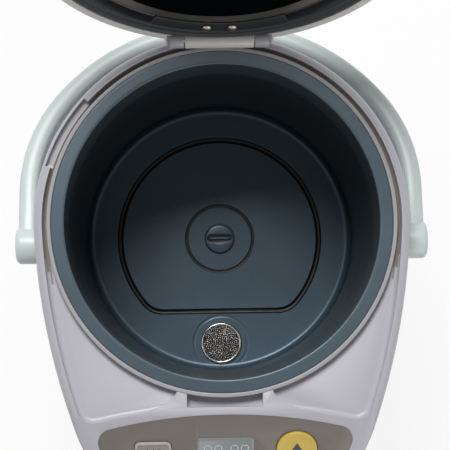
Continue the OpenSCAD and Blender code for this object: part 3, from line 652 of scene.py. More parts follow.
def meet(a, ra, b, rb, side):
    """Centre of a circle that touches two others, from its distances to their centres."""
    d = (b - a).length
    m = (d * d + ra * ra - rb * rb) / (2 * d)
    u = (b - a) / d
    return a + m * u + side * math.sqrt(ra * ra - m * m) * Vector((-u.y, u.x))


def housing_arcs(inset):
    """The housing's outline: its start, and each arc with its centre, headings and steps."""
    c = meet(SIDE, SIDE_R - BEAK_CORNER, FRONT, FRONT_R - BEAK_CORNER, -1)
    return (0, REAR_R - inset), [
        (Vector((0, 0)), 90, SIDE_TURN, 40),
        (SIDE, SIDE_TURN, heading(c - SIDE), 14),
        (c, heading(c - SIDE), heading(c - FRONT), 12),
        (FRONT, heading(c - FRONT), -90, 10),
    ]


def lid_arcs(inset, corner=LID_CORNER):
    """The lid's outline."""
    rs, rf = SIDE_R - LID_SIDE_SET - inset, LID_FRONT_R + inset
    c = meet(SIDE, rs - corner, LID_FRONT, rf + corner, 1)
    return (0, LID_REAR_R - inset), [
        (Vector((0, 0)), 90, SIDE_TURN, 40),
        (SIDE, SIDE_TURN, heading(c - SIDE), 14),
        (c, heading(c - SIDE), heading(LID_FRONT - c), 10),
        (LID_FRONT, heading(c - LID_FRONT), 90, 10),
    ]


def panel_arcs(inset):
    """The panel's outline: corners of 8 at its rear and of 16 at its front."""
    rs, rf = SIDE_R - PANEL_SIDE_SET, FRONT_R - PANEL_FRONT_SET
    a = meet(SIDE, rs - 8, PANEL_BACK, PANEL_R - 8, 1)
    b = meet(SIDE, rs - 16, FRONT, rf - 16, -1)
    return (0, PANEL_BACK.y + PANEL_R - inset), [
        (PANEL_BACK, 90, heading(a - PANEL_BACK), 12),
        (a, heading(a - PANEL_BACK), heading(a - SIDE), 10),
        (SIDE, heading(a - SIDE), heading(b - SIDE), 8),
        (b, heading(b - SIDE), heading(b - FRONT), 12),
        (FRONT, heading(b - FRONT), -90, 10),
    ]


def draw_loop(outline, z):
    """Draws the right half of a plan outline, arc by arc, and mirrors it to the left."""
    start, arcs = outline
    dot(start[0], start[1], z)
    for centre, a0, a1, steps in arcs:
        arc_to((centre.x, centre.y, z), a0 - a1, steps)
    mirror_left()


def stacked(name, loops):
    """A solid through a stack of outlines, each given with its height."""
    piece = new_piece(name)
    for outline, z in loops:
        draw_loop(outline, z)
    skin_over(piece, (loops[0][1], loops[-1][1]))
    return done(piece)


def on_panel(x=0.0, s=0.0, z=0.0):
    """The place and turn of something on the sloping panel: x across, s down the slope."""
    return shift(0, -104, 250) @ rotate(30, "X") @ shift(x, -s, z)


PANEL_UP = on_panel().to_3x3() @ Vector((0, 0, 1))


def half_space(piece, z, above):
    """Keeps what lies above or below a plane at height z over the panel."""
    point = on_panel(0, 0, z) @ Vector()
    choose(piece)
    bpy.ops.object.mode_set(mode="EDIT")
    bpy.ops.mesh.select_all(action="SELECT")
    kept = {"use_fill": True, "clear_inner": above, "clear_outer": not above}
    bpy.ops.mesh.bisect(plane_co=point, plane_no=PANEL_UP, **kept)
    done(piece)


def panel_block(name, inset, depth):
    """A block in the panel's outline, from a depth under the panel up."""
    made = stacked(name, [(panel_arcs(inset), 150), (panel_arcs(inset), 300)])
    half_space(made, -depth, above=True)
    return made


# ---------------------------------------------------------------- shoulder, beak and panel


def shoulder():
    """The one-piece moulded shoulder and beak, with the lid's seat, the latch slot and the panel's slope."""
    steps = [math.radians(a) for a in range(0, 91, 15)]
    edge = [(5 * (1 - math.cos(a)), 10 * (1 - math.sin(a))) for a in steps]
    walls = [(housing_arcs(0), 186)] + [(housing_arcs(i), 250 - d) for i, d in edge]
    skin = stacked("shoulder_shell", walls)
    half_space(skin, 0, above=False)
    bpy.ops.object.mode_set(mode="EDIT")
    pick(skin, "faces", lambda m, n: n.dot(PANEL_UP) > 0.999)
    bpy.ops.mesh.region_to_loop()
    bpy.ops.mesh.bevel(offset=1.6 * MM, segments=4, profile=0.5, affect="EDGES")
    done(skin)
    inside = stacked("inside", [(housing_arcs(2.6), 180), (housing_arcs(2.6), 241)])
    half_space(inside, -3.8, above=False)
    carve(skin, inside)
    hump = ring_piece("hump", 99, 107, 106.5, 73.5, 240.5, 250)
    soften(hump, 1.5, 4)
    fuse(skin, hump)
    rounds = [(d, 248 - math.sqrt(9 - (3 - d) ** 2)) for d in (3, 2.1, 1.3, 0.65, 0.2, 0)]
    fillet = [(lid_arcs(d, LID_CORNER - 0.8 * d), z) for d, z in rounds]
    seat = stacked("seat", fillet + [(lid_arcs(0), 256)])
    bridge = new_piece("bridge")
    corners = [(0, -86), (25, -89.2), (27.3, -95.6), (33, -99.4), (48, -106), (0, -106)]
    for z in (243, 257):
        path([(x, y, z) for x, y in corners])
        mirror_left()
    skin_over(bridge, (243, 257))
    pick(bridge, "edges", lambda m, ends: abs(ends[0].z - ends[1].z) > 5 and 20 < abs(m.x) < 40)
    bpy.ops.mesh.bevel(offset=3.2 * MM, segments=5, affect="EDGES")
    done(bridge)
    carve(seat, bridge)
    latch_slot = block(-20.5, 20.5, -100.7, -90, 242.2, 252)
    notch = ring_piece("notch", 97, 101, 161.8, 137.5, 245, 256)
    carve(skin, seat, rod(95.7, 239, 252, sides=180), latch_slot, notch)
    carve(skin, panel_block("recess", -0.15, 1.8), panel_block("opening", 6.5, 8))
    for x in (-1, 1):
        ear = cross_rod(4.6, *span(x, 19.4, 27), *HINGE)
        fuse(ear, block(*span(x, 19.4, 27), 96.5, 103, 244, 253))
        fuse(skin, ear)
    carve(skin, cross_rod(4.9, -19.4, 19.4, *HINGE))
    soften(skin, 0.45, 2, 32)
    dress(skin, "housing", [shell_abs, groove_abs_painted_shade], ["top_frame"])
    # The floor of the groove, from the flanks round the rear, takes the browner painted shade.
    recoat(skin, lambda m: 244 < m.z < 247 and m.xy.length < 98.4 and m.y > -62)
    return skin


shoulder()

# ---------------------------------------------------------------- inner pot and strainer


def bend(r, z, radius, a0, a1, steps=6):
    """Points round a bend of a turned section, from heading a0 to a1 about (r, z)."""
    turns = [math.radians(a0 + (a1 - a0) * k / steps) for k in range(steps + 1)]
    return [(r + radius * math.cos(a), z + radius * math.sin(a)) for a in turns]


def channel_tool(width, depth, z, reach, flat, corner):
    """A round bar that presses the heater's outline into the floor: a circle with its front cut straight."""
    radius = (width * width / 4 + depth * depth) / (2 * depth)
    height = z + radius - depth
    c = Vector((math.sqrt((reach - corner) ** 2 - (flat - corner) ** 2), corner - flat))
    bar = new_piece("channel_tool")
    bpy.ops.mesh.select_mode(type="VERT")
    turned_up = {"rotation": (0, math.radians(90), 0), "location": (0, reach * MM, height * MM)}
    bpy.ops.mesh.primitive_circle_add(vertices=24, radius=radius * MM, **turned_up)
    arc_to((0, 0, height), 90 - heading(c), 60)
    arc_to((c.x, c.y, height), heading(c) + 90, 14)
    bpy.ops.mesh.extrude_region_move(TRANSFORM_OT_translate={"value": (-c.x * MM, 0, 0)})
    mirror_left()
    stitch(0.02)
    return done(bar)


def pot_liner():
    """The deep-drawn pot: rolled lip, flat flange, the heater's outline and the outlet's dish in its floor."""
    rolled = [(19.6, 80), (20.6, 80), (20.9, 79.45), (21.3, 79.35), (22.1, 79.35), (22.5, 79.45), (22.8, 80)]
    section = [(0, 80)] + rolled + [(23.8, 80), (81, 80)] + bend(82, 84, 4, -90, 0, 8)
    section += [(86, 85), (86, 248)] + bend(87.0, 249.0, 1.0, 180, 90, 5) + [(88, 250), (92.4, 250)]
    section += bend(92.9, 249.7, 0.3, 90, 0, 3) + [(93.2, 249.2), (87.8, 249.2)]
    section += bend(87.8, 248.2, 1.0, 90, 180, 4) + bend(81.8, 84.2, 5, 0, -60, 6) + [(78, 78.3), (0, 78.3)]
    pot = turned("pot_liner", section, steps=200)
    fuse(pot, rod(8, 67, 79, *OUTLET))
    carve(pot, rod(7.2, 66, 81, *OUTLET))
    bpy.ops.object.select_all(action="DESELECT")
    sizes = {"major_radius": 17.5 * MM, "minor_radius": 3 * MM, "major_segments": 96, "minor_segments": 64}
    bpy.ops.mesh.primitive_torus_add(location=(0, OUTLET[1] * MM, 82.7 * MM), **sizes)
    dish = settle()
    carve(dish, rod(81.8, 78, 86, sides=200), operation="INTERSECT")
    carve(pot, dish, channel_tool(3.8, 1.0, 80, 65.1, 47.7, 16))
    coats = [pot_coat, recess_painted_shade, wall_coat_painted_shade, lip_coat_painted_shade]
    dress(pot, "housing", coats, ["inner_pot"], smooth=20)

    def in_groove(m):
        beside_outlet = (m.xy - Vector(OUTLET)).length < 19.2 and m.y < -49.7
        return 78.9 < m.z < 79.97 and m.xy.length < 70 and not beside_outlet

    # The pressed grooves in the floor take the near-black painted shade.
    recoat(pot, in_groove, 1)
    # The wall and the flat lip take the darker coats of painted shade.
    recoat(pot, lambda m: m.xy.length > 85.2 and 86 < m.z < 248.9, 2)
    recoat(pot, lambda m: m.z >= 248.9, 3)
    return pot


def slot_tool(length, width, z0, z1, x=0.0, y=0.0, ends=12):
    """A block with round ends along X, for keys, slots and ribs."""
    piece = new_piece("slot_tool")
    half = (length - width) / 2
    dot(x - half, y - width / 2, z0)
    line_by(2 * half, 0, 0)
    arc_to((x + half, y, z0), -180, ends)
    line_by(-2 * half, 0, 0)
    arc_to((x - half, y, z0), -180, ends)
    stitch(0.01)
    bpy.ops.mesh.edge_face_add()
    bpy.ops.mesh.extrude_region_move(TRANSFORM_OT_translate={"value": (0, 0, (z1 - z0) * MM)})
    return done(piece)


def floor_cap():
    """The coated cap at the middle of the floor: domed, with a wide slot painted black as shade and a rib to
    turn it by.
    """
    section = [(0, 80), (9.8, 80), (9.8, 80.7)] + bend(8.4, 81.0, 1.4, 10, 65, 5)
    cap = turned("floor_cap", section + [(7.6, 82.45), (5, 82.58), (0, 82.6)], steps=96)
    carve(cap, slot_tool(16.6, 5.4, 80.4, 84))
    rib = slot_tool(13.4, 1.5, 80.2, 82.4)
    soften(rib, 0.5, 3)
    fuse(cap, rib)
    soften(cap, 0.2, 2, 40)
    dress(cap, "housing", [pot_coat, recess_painted_shade], ["center_cap"])

    def in_slot(m):
        from_rib_end = math.hypot(max(abs(m.x) - 5.6, 0), m.y)
        return m.z < 82.3 and from_rib_end < 2.75 and abs(m.y) > 0.8 or 80.2 < m.z < 80.6

    # The slot's floor and walls take the near-black painted shade.
    recoat(cap, in_slot)
    return cap


def strainer():
    """The outlet's strainer: a bright rolled ring and wire woven over and under, above a well painted near
    black as shade.
    """
    section = [(11.4, 80), (13.4, 80), (13.4, 81.6)] + bend(12.4, 81.6, 1.0, 0, 180, 10) + [(11.4, 81.4)]
    rim = turned("strainer_rim", section, steps=96, centre=OUTLET)
    dress(rim, "housing", pressed_steel, ["filter_ring"], smooth=50)
    pitch, thick, reach, crown = 1.25, 0.3, 11.8, 0.9
    wires = []
    for lane in range(-9, 10):
        half = math.sqrt(reach ** 2 - (lane * pitch) ** 2)
        steps = int(half / pitch)
        wire = new_piece("wire")
        start = {"location": (-steps * pitch * MM, lane * pitch * MM, 0), "rotation": (0, math.radians(90), 0)}
        bpy.ops.mesh.primitive_circle_add(vertices=6, radius=thick * MM, fill_type="NGON", **start)
        for k in range(-steps, steps):
            rise = thick * 2 * (1 if (k + lane) % 2 else -1)
            for part in (0.25, 0.5, 0.25):
                by = (pitch * part * MM, 0, (rise if part == 0.5 else 0) * MM)
                bpy.ops.mesh.extrude_region_move(TRANSFORM_OT_translate={"value": by})
        bpy.ops.mesh.select_all(action="SELECT")
        bpy.ops.transform.translate(value=(0, 0, (thick if (steps + lane) % 2 else -thick) * MM))
        done(wire)
        cross = twin(wire)
        move(cross, Matrix.Scale(-1, 4, (0, 0, 1)) @ rotate(90, "Z"))
        wires += [wire, cross]
    cloth = gather(wires, "strainer_cloth")
    bpy.ops.object.mode_set(mode="EDIT")
    done(cloth)
    for v in cloth.data.vertices:
        v.co.z += crown * MM * (1 - (v.co.xy.length / (reach * MM)) ** 2)
    move(cloth, shift(*OUTLET, 81.2) @ rotate(8, "Z"))
    dress(cloth, "housing", pressed_steel, ["filter_mesh"], smooth=60)
    # A near-black disc under the cloth: painted shade in the outlet.
    section = [(0, 79.95), (11.5, 79.95), (11.5, 80.6), (11.1, 80.6), (11.1, 80.2), (0, 80.2)]
    well = turned("strainer_well", section, steps=64, centre=OUTLET)
    for turn in range(4):
        slot = slot_tool(5, 2.2, 79, 81, 6.6, 0)
        move(slot, shift(*OUTLET, 0) @ rotate(45 + 90 * turn, "Z"))
        carve(well, slot)
    return dress(well, "housing", recess_painted_shade)


def rim_collar():
    """The rim ring of the shoulder round the pot, with a ledge that holds the seal."""
    section = [(88.2, 243.4), (88.2, 246.4), (93.4, 246.4), (93.4, 250), (95.6, 250), (95.6, 241), (99, 241)]
    section += [(99, 238.5), (92.5, 238.5), (92.5, 243.4)]
    collar = turned("rim_collar", section, steps=200, width=0.4, segments=3)
    carve(collar, block(-22, 22, -110, -95.65, 237, 242))
    # The rim ring takes the deeper ABS of painted shade.
    return dress(collar, "housing", collar_abs_painted_shade, ["pot_collar"])


pot_liner()
floor_cap()
strainer()
rim_collar()

# ---------------------------------------------------------------- lid, drawn closed and swung open

LID_SWING = shift(0, *HINGE) @ rotate(-110, "X") @ shift(0, -HINGE[0], -HINGE[1])
HINGE_GAP = (-28.5, 28.5, 90, 120, 249, 258.4)  # the block cut out of shell and rim for the hinge
LATCH_GAP = (-13.5, 13.5, -99.4, -90, 249, 267)  # and the one for the latch
LATCH_PIN = (-82, 281.5)
VENT = (0, 40)
SCREW_X, SCREW_Y = 6.8, 82


def lid_dome():
    """The lid's outer shell: a soft-edged dome with a thin wall, open for the hinge, the latch and the vent."""
    rise = [(0.3, 20), (0.6, 16.5), (1.2, 13.2), (2.3, 9.9), (4, 7), (6.2, 4.7), (9, 3), (13, 1.7)]
    rise += [(18, 0.8), (24, 0.25), (30, 0)]

    def shape(name, thick, low):
        """The dome's form set in by a thickness. Its corners widen as the outline draws in."""
        levels = [(0.3, low)] + [(a, 290 - thick - d) for a, d in rise]
        return stacked(name, [(lid_arcs(a + thick, LID_CORNER + 0.6 * (a + thick)), z) for a, z in levels])

    dome = shape("lid_dome", 0, 250.4)
    carve(dome, shape("hollow", 2.4, 250.0))
    skirt = stacked("skirt", [(lid_arcs(1.8), 246.5), (lid_arcs(0.4), 248.3), (lid_arcs(0.4), 251)])
    hollow = stacked("skirt_hollow", [(lid_arcs(2.4, 4), 245), (lid_arcs(2.4, 4), 252)])
    carve(skirt, hollow, block(-120, 120, 10, 120, 240, 260), block(-49, 49, -120, -85, 240, 250.4))
    fuse(dome, skirt)
    window = block(-17, 17, -95.2, -63.2, 280, 310)
    carve(dome, cross_rod(5.4, -28.5, 28.5, *HINGE), block(*HINGE_GAP), window, block(*LATCH_GAP))
    carve(dome, rod(8.5, 270, 310, *VENT, 64))
    soften(dome, 0.5, 3, 40)
    move(dome, LID_SWING)
    dress(dome, "lid", shell_abs, ["lid_cover"])
    trim = stacked("lid_rim_trim", [(lid_arcs(0.45, 8.8), 250.35), (lid_arcs(0.45, 8.8), 251.95)])
    hollow = stacked("trim_hollow", [(lid_arcs(4.5, 7), 249), (lid_arcs(4.5, 7), 253)])
    carve(trim, hollow, block(*HINGE_GAP), block(*LATCH_GAP))
    soften(trim, 0.5, 4, 40)
    move(trim, LID_SWING)
    dress(trim, "lid", rim_gloss)
    barrel = cross_rod(4.7, -18.9, 18.9, *HINGE)
    barrel.name = "hinge_barrel"
    carve(barrel, cross_rod(1.8, -20, 20, *HINGE))
    soften(barrel, 0.6, 4, 40)
    move(barrel, LID_SWING)
    return dress(barrel, "lid", rim_gloss)


def lid_underside():
    """What shows of the lid from below: black frame, hinge insert with its screws, seal and steel inner lid."""
    plate = stacked("lid_inner_frame", [(lid_arcs(3, 10.3), 252), (lid_arcs(3, 10.3), 255)])
    section = [(77.5, 250.3), (85.5, 250.3), (85.5, 253), (77.5, 253)]
    ring = turned("ring", section, steps=180, width=0.6, segments=3)
    carve(ring, ring_piece("gap", 70, 90, 116, 64, 240, 252))
    fuse(plate, ring)
    carve(plate, block(-28.5, 28.5, 92.5, 120, 250, 260), block(-18.9, 18.9, 77.5, 100, 251.99, 260))
    carve(plate, block(-13, 13, -110, -91.5, 250, 260))
    for x in (-1, 1):
        ear = block(*span(x, 15.4, 18.4), -85.2, -78.8, 254, 281.5)
        fuse(ear, cross_rod(2.3, *span(x, 15.4, 18.4), *LATCH_PIN))
        fuse(plate, ear)
    carve(plate, rod(6.5, 250, 260, *VENT, 64))
    soften(plate, 0.25, 2, 40)
    move(plate, LID_SWING)
    dress(plate, "lid", black_abs, ["lid_frame"])

    insert = ring_piece("hinge_insert", 77.7, 85.3, 115.7, 64.3, 250.0, 252, 48)
    soften(insert, 0.5, 3, 40)
    arm = block(-18.5, 18.5, 78.2, 99, 252, 257.1)
    carve(arm, block(-18.5, 18.5, 83.2, 99, 251, 253.9))
    fuse(insert, arm)
    carve(insert, cross_rod(4.72, -20, 20, *HINGE))
    for x in (-SCREW_X, SCREW_X):
        carve(insert, rod(3.1, 249, 250.7, x, SCREW_Y, 48))
    soften(insert, 0.3, 2, 40)
    move(insert, LID_SWING)
    dress(insert, "lid", matt_black, ["hinge_plate"])

    section = [(0, 248.6)] + bend(0, 252.2, 3.6, -80, -46, 5)
    section += [(2.5, 250.7), (1.4, 250.8), (1.4, 254.5), (0, 254.5)]
    screw = turned("lid_screw", section, steps=48)
    for angle in (20, 110):
        bar = block(-1.5, 1.5, -0.28, 0.28, 247, 249.3)
        move(bar, rotate(angle, "Z"))
        carve(screw, bar)
    soften(screw, 0.08, 2, 45)
    second = twin(screw)
    second.name = "lid_screw_right"
    move(screw, LID_SWING @ shift(-SCREW_X, SCREW_Y, 0))
    move(second, LID_SWING @ shift(SCREW_X, SCREW_Y, 0))
    dress(screw, "lid", satin_steel, ["lid_screws"])
    dress(second, "lid", satin_steel)

    section = [(86.1, 252), (86.1, 251.2)] + bend(87.4, 251.2, 0.95, 200, 300, 6)
    section += [(89.2, 250.9), (90.3, 250.9)] + bend(91.9, 251.3, 1.05, 240, 350, 7) + [(93.2, 252)]
    seal = turned("lid_seal", section, steps=180)
    move(seal, LID_SWING)
    dress(seal, "lid", silicone, ["lid_gasket"])

    section = [(0, 249), (69.0, 249)] + bend(69.2, 249.8, 0.8, -80, -70, 2) + bend(76.4, 251.3, 1.0, -70, 0, 5)
    section += [(77.4, 252), (76.6, 252), (76.4, 251.5), (69.2, 249.9), (0, 249.8)]
    steel = turned("inner_lid_steel", section, steps=200)
    for x, y in around(6, 14):
        carve(steel, rod(2, 248, 251, x, y, 32))
    bevel_faces = [f.index for f in steel.data.polygons if f.center.xy.length > 69.1 * MM]
    move(steel, LID_SWING)
    dress(steel, "lid", [mirror_steel, satin_steel], ["inner_lid"], smooth=12)
    for k in bevel_faces:
        steel.data.polygons[k].material_index = 1
    return steel


def vent_and_latch():
    """The steam vent's slotted cap and the release tab of the latch with its finger ribs."""
    section = [(6.5, 255), (8.2, 255), (8.2, 290.1), (16, 290.1), (16, 291.4)]
    cap = turned("steam_cap", section + bend(14.8, 291.4, 1.2, 0, 90, 5) + [(6.5, 292.6)], steps=96)
    fuse(cap, rod(6.6, 291.2, 292.6, 0, 0, 64))
    for y in (-4, 0, 4):
        carve(cap, slot_tool(12, 2, 290, 294, 0, y))
    soften(cap, 0.25, 2, 40)
    move(cap, LID_SWING @ shift(*VENT, 0))
    dress(cap, "lid", collar_abs_painted_shade, ["steam_vent"])

    tab = block(-16.5, 16.5, -94, -64, 284, 286.5)
    tab.name = "latch_tab"
    bpy.ops.object.mode_set(mode="EDIT")
    pick(tab, "edges", upright(1))
    bpy.ops.mesh.bevel(offset=5 * MM, segments=8, affect="EDGES")
    done(tab)
    for y in (-90, -87, -84):
        carve(tab, slot_tool(22, 1.4, 286.0, 288, 0, y))
    soften(tab, 0.4, 3, 40)
    fuse(tab, cross_rod(3.2, -15, 15, *LATCH_PIN), cross_rod(1.5, -18.4, 18.4, *LATCH_PIN))
    fuse(tab, block(-12, 12, -84, -80, 262, 284.5), block(-12, 12, -98.4, -80, 262, 265))
    fuse(tab, block(-12, 12, -98.4, -97.2, 245.6, 265), block(-12, 12, -99.9, -97.6, 243.6, 246.1))
    move(tab, LID_SWING)
    return dress(tab, "latch", collar_abs_painted_shade, ["latch_lever"])


lid_dome()
lid_underside()
vent_and_latch()

# ---------------------------------------------------------------- carrying handle

HANDLE_SWING = shift(0, -10, 212) @ rotate(-11, "X")


def bow_section():
    """A full, rounded section: (across, up), each from -1 to 1."""
    points = []
    for k in range(28):
        a = math.radians(360 * k / 28)
        c, t = math.cos(a), math.sin(a)
        points.append((math.copysign(abs(c) ** 0.72, c), math.copysign(abs(t) ** 0.66, t)))
    return points


def carrying_handle():
    """The bow: a smooth bar of rounded section in three arcs round the rear, straight arms, round hubs."""
    back, rear, arm, hub_end, wide, tall = 12.0, 121.8, 115.2, 116.4, 11.2, 14.0
    corner_turn = 38
    turn = math.radians(corner_turn)
    corner = (arm - rear * math.cos(turn)) / (1 - math.cos(turn))
    c = Vector((0, back)) + (rear - corner) * Vector((math.cos(turn), math.sin(turn)))
    bow = new_piece("handle_bow")
    section = [(0, back + rear + wide / 2 * (across - 1), tall / 2 * up) for across, up in bow_section()]
    path(section + section[:1])
    stitch()
    bpy.ops.mesh.select_all(action="SELECT")
    arc_to((0, back, 0), 90 - corner_turn, 40)
    arc_to((c.x, c.y, 0), corner_turn, 24)
    bpy.ops.mesh.extrude_region_move(TRANSFORM_OT_translate={"value": (0, -c.y * MM, 0)})
    bpy.ops.mesh.edge_face_add()
    mirror_left()
    stitch(0.01)
    done(bow)
    for x in (-1, 1):
        hub = cross_rod(10.5, *span(x, 103.8, hub_end), 0, 0, 96)
        bpy.ops.object.mode_set(mode="EDIT")
        pick(hub, "edges", lambda m, ends: all(abs(abs(e.x) - hub_end) < 0.01 for e in ends))
        bpy.ops.mesh.bevel(offset=3.0 * MM, segments=6, affect="EDGES")
        done(hub)
        fuse(bow, hub)
        carve(bow, cross_rod(4.05, *span(x, 100, 120), 0, 0), cross_rod(6, *span(x, 109.7, 120), 0, 0))
    soften(bow, 0.5, 3, 40)
    move(bow, HANDLE_SWING)
    dress(bow, "handle", handle_pp, ["handle_bail"])
    for x, side in ((-1, "left"), (1, "right")):
        section = [(0, 114.8), (5.95, 114.8), (5.95, 115.8)] + bend(5.2, 115.8, 0.7, 0, 70, 4)
        cap = turned("handle_cap_" + side, section + [(2.5, 116.7), (0, 116.55)], steps=64)
        move(cap, HANDLE_SWING @ rotate(90 * x, "Y"))
        dress(cap, "handle", handle_pp, ["handle_caps"] if x < 0 else ())
    return bow


carrying_handle()

# ---------------------------------------------------------------- control panel

# places on the panel: across, down the slope, and for the keys width and height
POUR_KEY = (39, 23.7)
LAMPS = [(x, 46) for x in (-9, 0, 9)]
DISPLAY = (0, 27)
KEYS = {"boil_key": (-39.5, 25, 20, 14), "unlock_key": (36, 49, 26, 12), "select_key": (-36, 49, 26, 12)}


def rounded_block(width, height, corner, z0, z1, rim=0.0, sink=0.0):
    """A key's cap about the origin: round corners, and a sunk face inside a rim."""
    key = block(-width / 2, width / 2, -height / 2, height / 2, z0, z1)
    bpy.ops.object.mode_set(mode="EDIT")
    pick(key, "edges", upright(0.1))
    bpy.ops.mesh.bevel(offset=corner * MM, segments=8, affect="EDGES")
    if rim:
        pick(key, "faces", lambda m, n: n.z > 0.9)
        bpy.ops.mesh.inset(thickness=rim * MM, depth=0)
        bpy.ops.mesh.inset(thickness=0.35 * MM, depth=-sink * MM)
    return done(key)


def faceplate():
    """The printed panel: a thin plate on the slope with openings for display, keys and lamps."""
    plate = panel_block("panel_plate", 0, 1.8)
    half_space(plate, 0, above=False)
    for x, s, w, h in KEYS.values():
        hole = rounded_block(w + 0.8, h + 0.8, 3.4, -5, 5)
        move(hole, on_panel(x, s))
        carve(plate, hole)
    for x, s, r in [(*POUR_KEY, 11.5)] + [(*lamp, 1.55) for lamp in LAMPS]:
        hole = rod(r, -5, 5, sides=96 if r > 5 else 32)
        move(hole, on_panel(x, s))
        carve(plate, hole)
    hole = rounded_block(31.1, 22.1, 2, -5, 5)
    move(hole, on_panel(*DISPLAY))
    carve(plate, hole)
    soften(plate, 0.3, 3, 40)
    return dress(plate, "housing", panel_film, ["control_faceplate"])


def sign(name, shapes, place, body):
    """A plain printed sign on a key, made of a few flat shapes."""
    fuse(*shapes)
    shapes[0].name = name
    move(shapes[0], place)
    return dress(shapes[0], body, sign_ink)


def shifted(piece, x, y, degrees=0):
    """The piece itself, turned and moved in its plane."""
    move(piece, shift(x, y, 0) @ rotate(degrees, "Z"))
    return piece


def rect_keys():
    """The three flat keys: a rim painted lighter as a highlight round a sunk, darker face, each with its flange
    under the plate.
    """
    for name, (x, s, w, h) in KEYS.items():
        cap = rounded_block(w, h, 3, -4.2, 1, rim=1.5, sink=0.35)
        soften(cap, 0.35, 3, 50)
        flange = rounded_block(w + 4, h + 4, 4, -4.2, -2.1)
        fuse(cap, flange)
        move(cap, on_panel(x, s))
        dress(cap, name, [key_rim_painted_highlight, key_abs], [name.replace("key", "button")])
        # The sunk face takes the key's own grey; the rim keeps its painted highlight.
        for face in cap.data.polygons:
            m = on_panel(x, s).inverted() @ face.center / MM
            within_rim = abs(m.x) < w / 2 - 1.6 and abs(m.y) < h / 2 - 1.6
            if face.normal.dot(PANEL_UP) > 0.7 and within_rim and m.z > 0.3:
                face.material_index = 1
    ink = (0.6, 0.72)  # from under the sunk face to just over it
    waves = []
    for x in (-3.2, 0, 3.2):
        waves.append(shifted(ring_piece("wave", 1.2, 1.8, 60, -60, *ink, 12), x - 0.75, 1.3))
        waves.append(shifted(ring_piece("wave", 1.2, 1.8, 240, 120, *ink, 12), x + 0.75, -1.3))
    shackle = shifted(ring_piece("shackle", 1.2, 1.85, 180, 0, *ink, 16), 0, 1.7)
    lock = [rounded_block(5.2, 3.6, 0.6, *ink), shackle]
    arrows = [shifted(rod(1.9, *ink, sides=3), x, y, turn) for x, y, turn in ((-3.2, -0.3, 0), (3.2, 0.3, 180))]
    for key, shapes, up in (("boil", waves, 0), ("unlock", lock, 0.6), ("select", arrows, 0)):
        x, s = KEYS[key + "_key"][:2]
        sign(key + "_sign", shapes, on_panel(x, s - up), key + "_key")


def pour_key():
    """The round pour key: a shallow dome inside a raised rim."""
    section = [(0, -4.2), (13.1, -4.2), (13.1, -2.1), (11.1, -2.1), (11.1, 0.7)]
    section += bend(10.3, 0.75, 0.8, 0, 100, 6) + [(9.4, 1.35), (6, 1.5), (0, 1.58)]
    key = turned("pour_key", section, steps=96)
    move(key, on_panel(*POUR_KEY))
    dress(key, "pour_key", key_yellow, ["pour_button"])
    drop = new_piece("pour_sign")
    for z in (1.45, 1.62):
        dot(0, 4.6, z)
        line_by(2.48, -4.1, 0)
        arc_to((0, -1, z), 242.4, 32)
        line_by(2.48, 4.1, 0)
    skin_over(drop, (1.45, 1.62), 0.004)
    done(drop)
    move(drop, on_panel(*POUR_KEY))
    return dress(drop, "pour_key", sign_ink)


def lamps():
    """Three small amber lenses in the panel, one beside the other."""
    section = [(0, -4.5), (1.5, -4.5), (1.5, -0.25), (1.3, 0), (0.8, 0.16), (0, 0.2)]
    lenses = [turned("lens", section, steps=40) for _ in LAMPS]
    for lens, lamp in zip(lenses, LAMPS):
        move(lens, on_panel(*lamp))
    fuse(*lenses)
    lenses[0].name = "lamp_lenses"
    return dress(lenses[0], "housing", amber_lens, ["indicator_lenses"])


def display():
    """The display: a grey cell sunk in a bezel, and plain pale figures of seven bars each."""
    window = rounded_block(31, 22, 2, -1.8, 0.2, rim=1.4, sink=0.12)
    soften(window, 0.15, 2, 50)
    move(window, on_panel(*DISPLAY))
    dress(window, "housing", display_cell, ["lcd_window"])
    bars = {"a": (0, 3.4, 0), "g": (0, 0, 0), "d": (0, -3.4, 0)}  # across, up, and turned by
    bars.update({"f": (-1.9, 1.7, 90), "b": (1.9, 1.7, 90), "e": (-1.9, -1.7, 90), "c": (1.9, -1.7, 90)})
    lit = []
    for x, figure in ((-9.6, "abcdfg"), (-3.9, "abcdef"), (4.9, "abcdfg"), (10.6, "abcdefg")):
        for bx, by, turn in (bars[bar] for bar in figure):
            piece = slot_tool(2.7 if turn else 3.1, 0.75, 0.08, 0.2, ends=6)
            move(piece, on_panel(x, 24.5) @ shift(bx, by, 0) @ rotate(turn, "Z"))
            lit.append(piece)
    lit = gather(lit, "display_figures")
    return dress(lit, "housing", figure_pale)


faceplate()
rect_keys()
pour_key()
lamps()
display()

# ---------------------------------------------------------------- body, level gauge, base and spout


def body_sleeve():
    """The rolled and painted steel sleeve: hemmed ends, a lock seam at the rear, two openings."""
    section = [(99.3, 26), (100.6, 26), (100.6, 192), (99.3, 192)]
    sleeve = turned("body_sleeve", section, steps=180, width=0.5, segments=3)
    for wide, y0, y1, z0, z1 in ((16, -110, -80, 62, 172), (34, 80, 110, 34, 62)):
        cut = rounded_block(wide, z1 - z0, 3, 0, y1 - y0)
        move(cut, shift(0, y1, (z0 + z1) / 2) @ rotate(90, "X"))
        carve(sleeve, cut)
    carve(sleeve, block(-0.35, 0.35, 100.35, 103, 63, 200))
    for z in (30.5, 181):
        bead = [(100.35, z - 0.5), (102, z - 0.5), (102, z + 0.5), (100.35, z + 0.5)]
        carve(sleeve, turned("bead", bead, steps=180))
    soften(sleeve, 0.18, 2, 50)
    return dress(sleeve, "housing", painted_steel, ["body_shell"])


